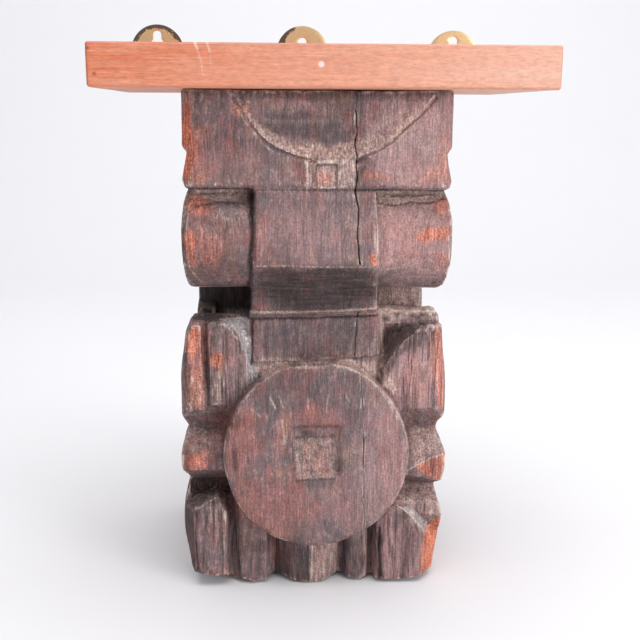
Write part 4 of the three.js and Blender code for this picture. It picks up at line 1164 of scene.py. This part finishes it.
class StageSettings(bpy.types.PropertyGroup):
    """The floor, the light and the camera."""
    paper: colour("Paper", "EDEDEF", "Background paper")
    sky: FloatProperty(name="Room light", description="Strength of the even light", default=0.52, min=0.0)
    key: FloatProperty(name="Key light", description="Power of the soft light at the right", default=27.0,
                       min=0.0, subtype="POWER", unit="POWER")
    top: FloatProperty(name="Top light", description="Power of the soft light above", default=44.0,
                       min=0.0, subtype="POWER", unit="POWER")
    back: FloatProperty(name="Backdrop light", description="Power of the light on the paper behind",
                        default=3.0, min=0.0, subtype="POWER", unit="POWER")
    lens: FloatProperty(name="Lens", description="Focal length on a 36 mm sensor", default=55.03, min=1.0,
                        subtype="DISTANCE_CAMERA", unit="CAMERA")


class CORBEL_OT_block(bpy.types.Operator):
    """Carves the block over its CAD solid: tool marks, grain, cracks and wear"""
    bl_idname = "corbel.block"
    bl_label = "Carved block"

    def execute(self, context):
        sizes = context.scene.corbel_block
        mesh = modified(joined_copy(BLOCK), "REMESH", mode="VOXEL", voxel_size=sizes.step,
                        adaptivity=0.0, use_smooth_shade=True)
        mesh = refined(mesh, near_lines)
        mesh = refined(mesh, near_cuts, 2)
        carve(mesh, sizes)
        mesh = thinned(mesh, MOST_TRIANGLES)
        weather(mesh)
        mesh.shade_smooth()
        finished("carved_block", mesh, carved_wood(sizes), "carved_wood", BLOCK)
        return {"FINISHED"}


class CORBEL_OT_plank(bpy.types.Operator):
    """Makes the plank over its CAD solid, with worn edges and its small marks"""
    bl_idname = "corbel.plank"
    bl_label = "Plank"

    def execute(self, context):
        sizes = context.scene.corbel_plank
        mesh = gridded(joined_copy(PLANK), sizes.step)
        for _ in range(2):
            mesh = refined(mesh, near_marks, 2)
        straight, places = waved(mesh)
        handle(mesh, straight, places)
        mesh.shade_smooth()
        mesh.set_sharp_from_angle(angle=math.radians(25))
        finished("plank", mesh, plank_wood(sizes), "plank_wood", PLANK)
        return {"FINISHED"}


class CORBEL_OT_plates(bpy.types.Operator):
    """Makes the three brass hanging plates, with rounded edges and tarnish"""
    bl_idname = "corbel.plates"
    bl_label = "Hanging plates"

    def execute(self, context):
        sizes = context.scene.corbel_brass
        material = old_brass(sizes)
        for node in PLATES:
            mesh = stamped(joined_copy(node), sizes.edge)
            places, _, _ = read(mesh)
            paint(mesh, tarnish=tarnished(node, places))
            finished(f"plate_{node.split('_')[1]}", mesh, material, "brass", node)
        return {"FINISHED"}


class CORBEL_OT_screws(bpy.types.Operator):
    """Makes the six countersunk brass screws that hold the plates"""
    bl_idname = "corbel.screws"
    bl_label = "Screws"

    def execute(self, context):
        sizes = context.scene.corbel_brass
        material = old_brass(sizes)
        for node in SCREWS:
            mesh = stamped(joined_copy(node), SCREW_EDGE * MM)
            paint(mesh, tarnish=np.full(len(mesh.vertices), SCREW_TARNISH))
            finished(node.replace("screw", "wood_screw"), mesh, material, "brass", node)
        return {"FINISHED"}


class CORBEL_OT_stage(bpy.types.Operator):
    """Sets the pale floor, the soft light and the camera"""
    bl_idname = "corbel.stage"
    bl_label = "Stage"

    def execute(self, context):
        stage = context.scene.corbel_stage
        background_paper(stage.paper)
        room_light(stage.sky)
        soft_light("key_light", stage.key, 1.1, (1.7, -1.75, 0.4), (0, -0.1, 0))
        soft_light("top_light", stage.top, 2.6, (0.1, -0.5, 2.2), (0, -0.1, 0))
        soft_light("backdrop_light", stage.back, 1.2, (0.5, 0.6, 1.6), (0.2, 2.0, 0.5))
        photo_camera(stage.lens)
        context.scene.view_settings.view_transform = "Standard"
        context.scene.view_settings.look = "None"
        context.scene.view_settings.exposure = 0.0
        return {"FINISHED"}


def background_paper(colour):
    """A paper that runs back from the front, turns up in a quarter round and rises behind."""
    bm = bmesh.new()
    near, far, radius, top, half_width = -2.2, 1.1, 0.9, 2.6, 3.0
    turn = [(far + radius * math.sin(a), radius * (1 - math.cos(a)))
            for a in (math.radians(7.5 * i) for i in range(13))]
    line = [(near, 0.0), *turn, (far + radius, top)]
    row = [bm.verts.new((-half_width, y, z + FLOOR * MM)) for y, z in line]
    edges = [bm.edges.new(pair) for pair in zip(row, row[1:])]
    made = bmesh.ops.extrude_edge_only(bm, edges=edges)["geom"]
    moved = [v for v in made if isinstance(v, bmesh.types.BMVert)]
    bmesh.ops.translate(bm, verts=moved, vec=(2 * half_width, 0, 0))
    bmesh.ops.recalc_face_normals(bm, faces=bm.faces)
    mesh = bpy.data.meshes.new("background_paper")
    bm.to_mesh(mesh)
    bm.free()
    if mesh.polygons[0].normal.z < 0:
        mesh.flip_normals()
    mesh.shade_smooth()
    mesh.materials.append(sweep_paper(colour))
    paper = bpy.data.objects.new("background_paper", mesh)
    bpy.context.scene.collection.objects.link(paper)


def room_light(strength):
    """Even light from a white room."""
    world = bpy.data.worlds.new("white_room")
    world.use_nodes = True
    background = world.node_tree.nodes["Background"]
    background.inputs["Color"].default_value = (0.97, 0.97, 1.0, 1)
    background.inputs["Strength"].default_value = strength
    bpy.context.scene.world = world


def soft_light(name, power, size, at, aim):
    """A round soft light, turned towards what it lights."""
    lamp = bpy.data.lights.new(name, "AREA")
    lamp.shape = "DISK"
    lamp.size = size
    lamp.energy = power
    holder = bpy.data.objects.new(name, lamp)
    holder.location = at
    holder.rotation_euler = (Vector(aim) - Vector(at)).to_track_quat("-Z", "Y").to_euler()
    bpy.context.scene.collection.objects.link(holder)


def photo_camera(focal_length):
    """The camera that took the photo."""
    lens = bpy.data.cameras.new("camera")
    lens.lens = focal_length
    lens.sensor_width = 36
    lens.clip_end = 20
    camera = bpy.data.objects.new("camera", lens)
    camera.matrix_world = camera_place()
    bpy.context.scene.collection.objects.link(camera)
    bpy.context.scene.camera = camera


def camera_place():
    """Where the camera stands: to the left of the middle, above the plank, tilted down."""
    place = Vector((-39.43, -841.85, 166.94)) * MM
    down, turn, roll = 0.21058, 0.06207, 0.00527
    ahead = Vector((math.sin(turn) * math.cos(down), math.cos(turn) * math.cos(down), -math.sin(down)))
    level_right = Vector((math.cos(turn), -math.sin(turn), 0))
    level_up = level_right.cross(ahead)
    right = level_right * math.cos(roll) + level_up * math.sin(roll)
    up = level_up * math.cos(roll) - level_right * math.sin(roll)
    turned = Matrix((right, up, -ahead)).transposed().to_4x4()
    return Matrix.Translation(place) @ turned


class CORBEL_PT_panel(bpy.types.Panel):
    """Settings and makers of the corbel's pieces"""
    bl_label = "Corbel shelf"
    bl_space_type = "VIEW_3D"
    bl_region_type = "UI"
    bl_category = "Corbel"

    def draw(self, context):
        for group, operators in GROUPS.items():
            box = self.layout.box()
            settings = getattr(context.scene, group)
            for name in settings.__class__.__annotations__:
                box.prop(settings, name)
            for operator in operators:
                box.operator(operator.bl_idname)


GROUPS = {
    "corbel_block": (CORBEL_OT_block,),
    "corbel_plank": (CORBEL_OT_plank,),
    "corbel_brass": (CORBEL_OT_plates, CORBEL_OT_screws),
    "corbel_stage": (CORBEL_OT_stage,),
}
SETTINGS = {
    "corbel_block": CarvedBlockSettings,
    "corbel_plank": PlankSettings,
    "corbel_brass": BrassSettings,
    "corbel_stage": StageSettings,
}
CLASSES = (*SETTINGS.values(), *(o for row in GROUPS.values() for o in row), CORBEL_PT_panel)


def register():
    for made in CLASSES:
        bpy.utils.register_class(made)
    for name, group in SETTINGS.items():
        setattr(bpy.types.Scene, name, PointerProperty(type=group))


def unregister():
    for name in SETTINGS:
        delattr(bpy.types.Scene, name)
    for made in reversed(CLASSES):
        bpy.utils.unregister_class(made)


def main():
    register()
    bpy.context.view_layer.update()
    bpy.ops.corbel.block()
    bpy.ops.corbel.plank()
    bpy.ops.corbel.plates()
    bpy.ops.corbel.screws()
    bpy.ops.corbel.stage()


if __name__ == "__main__":
    main()
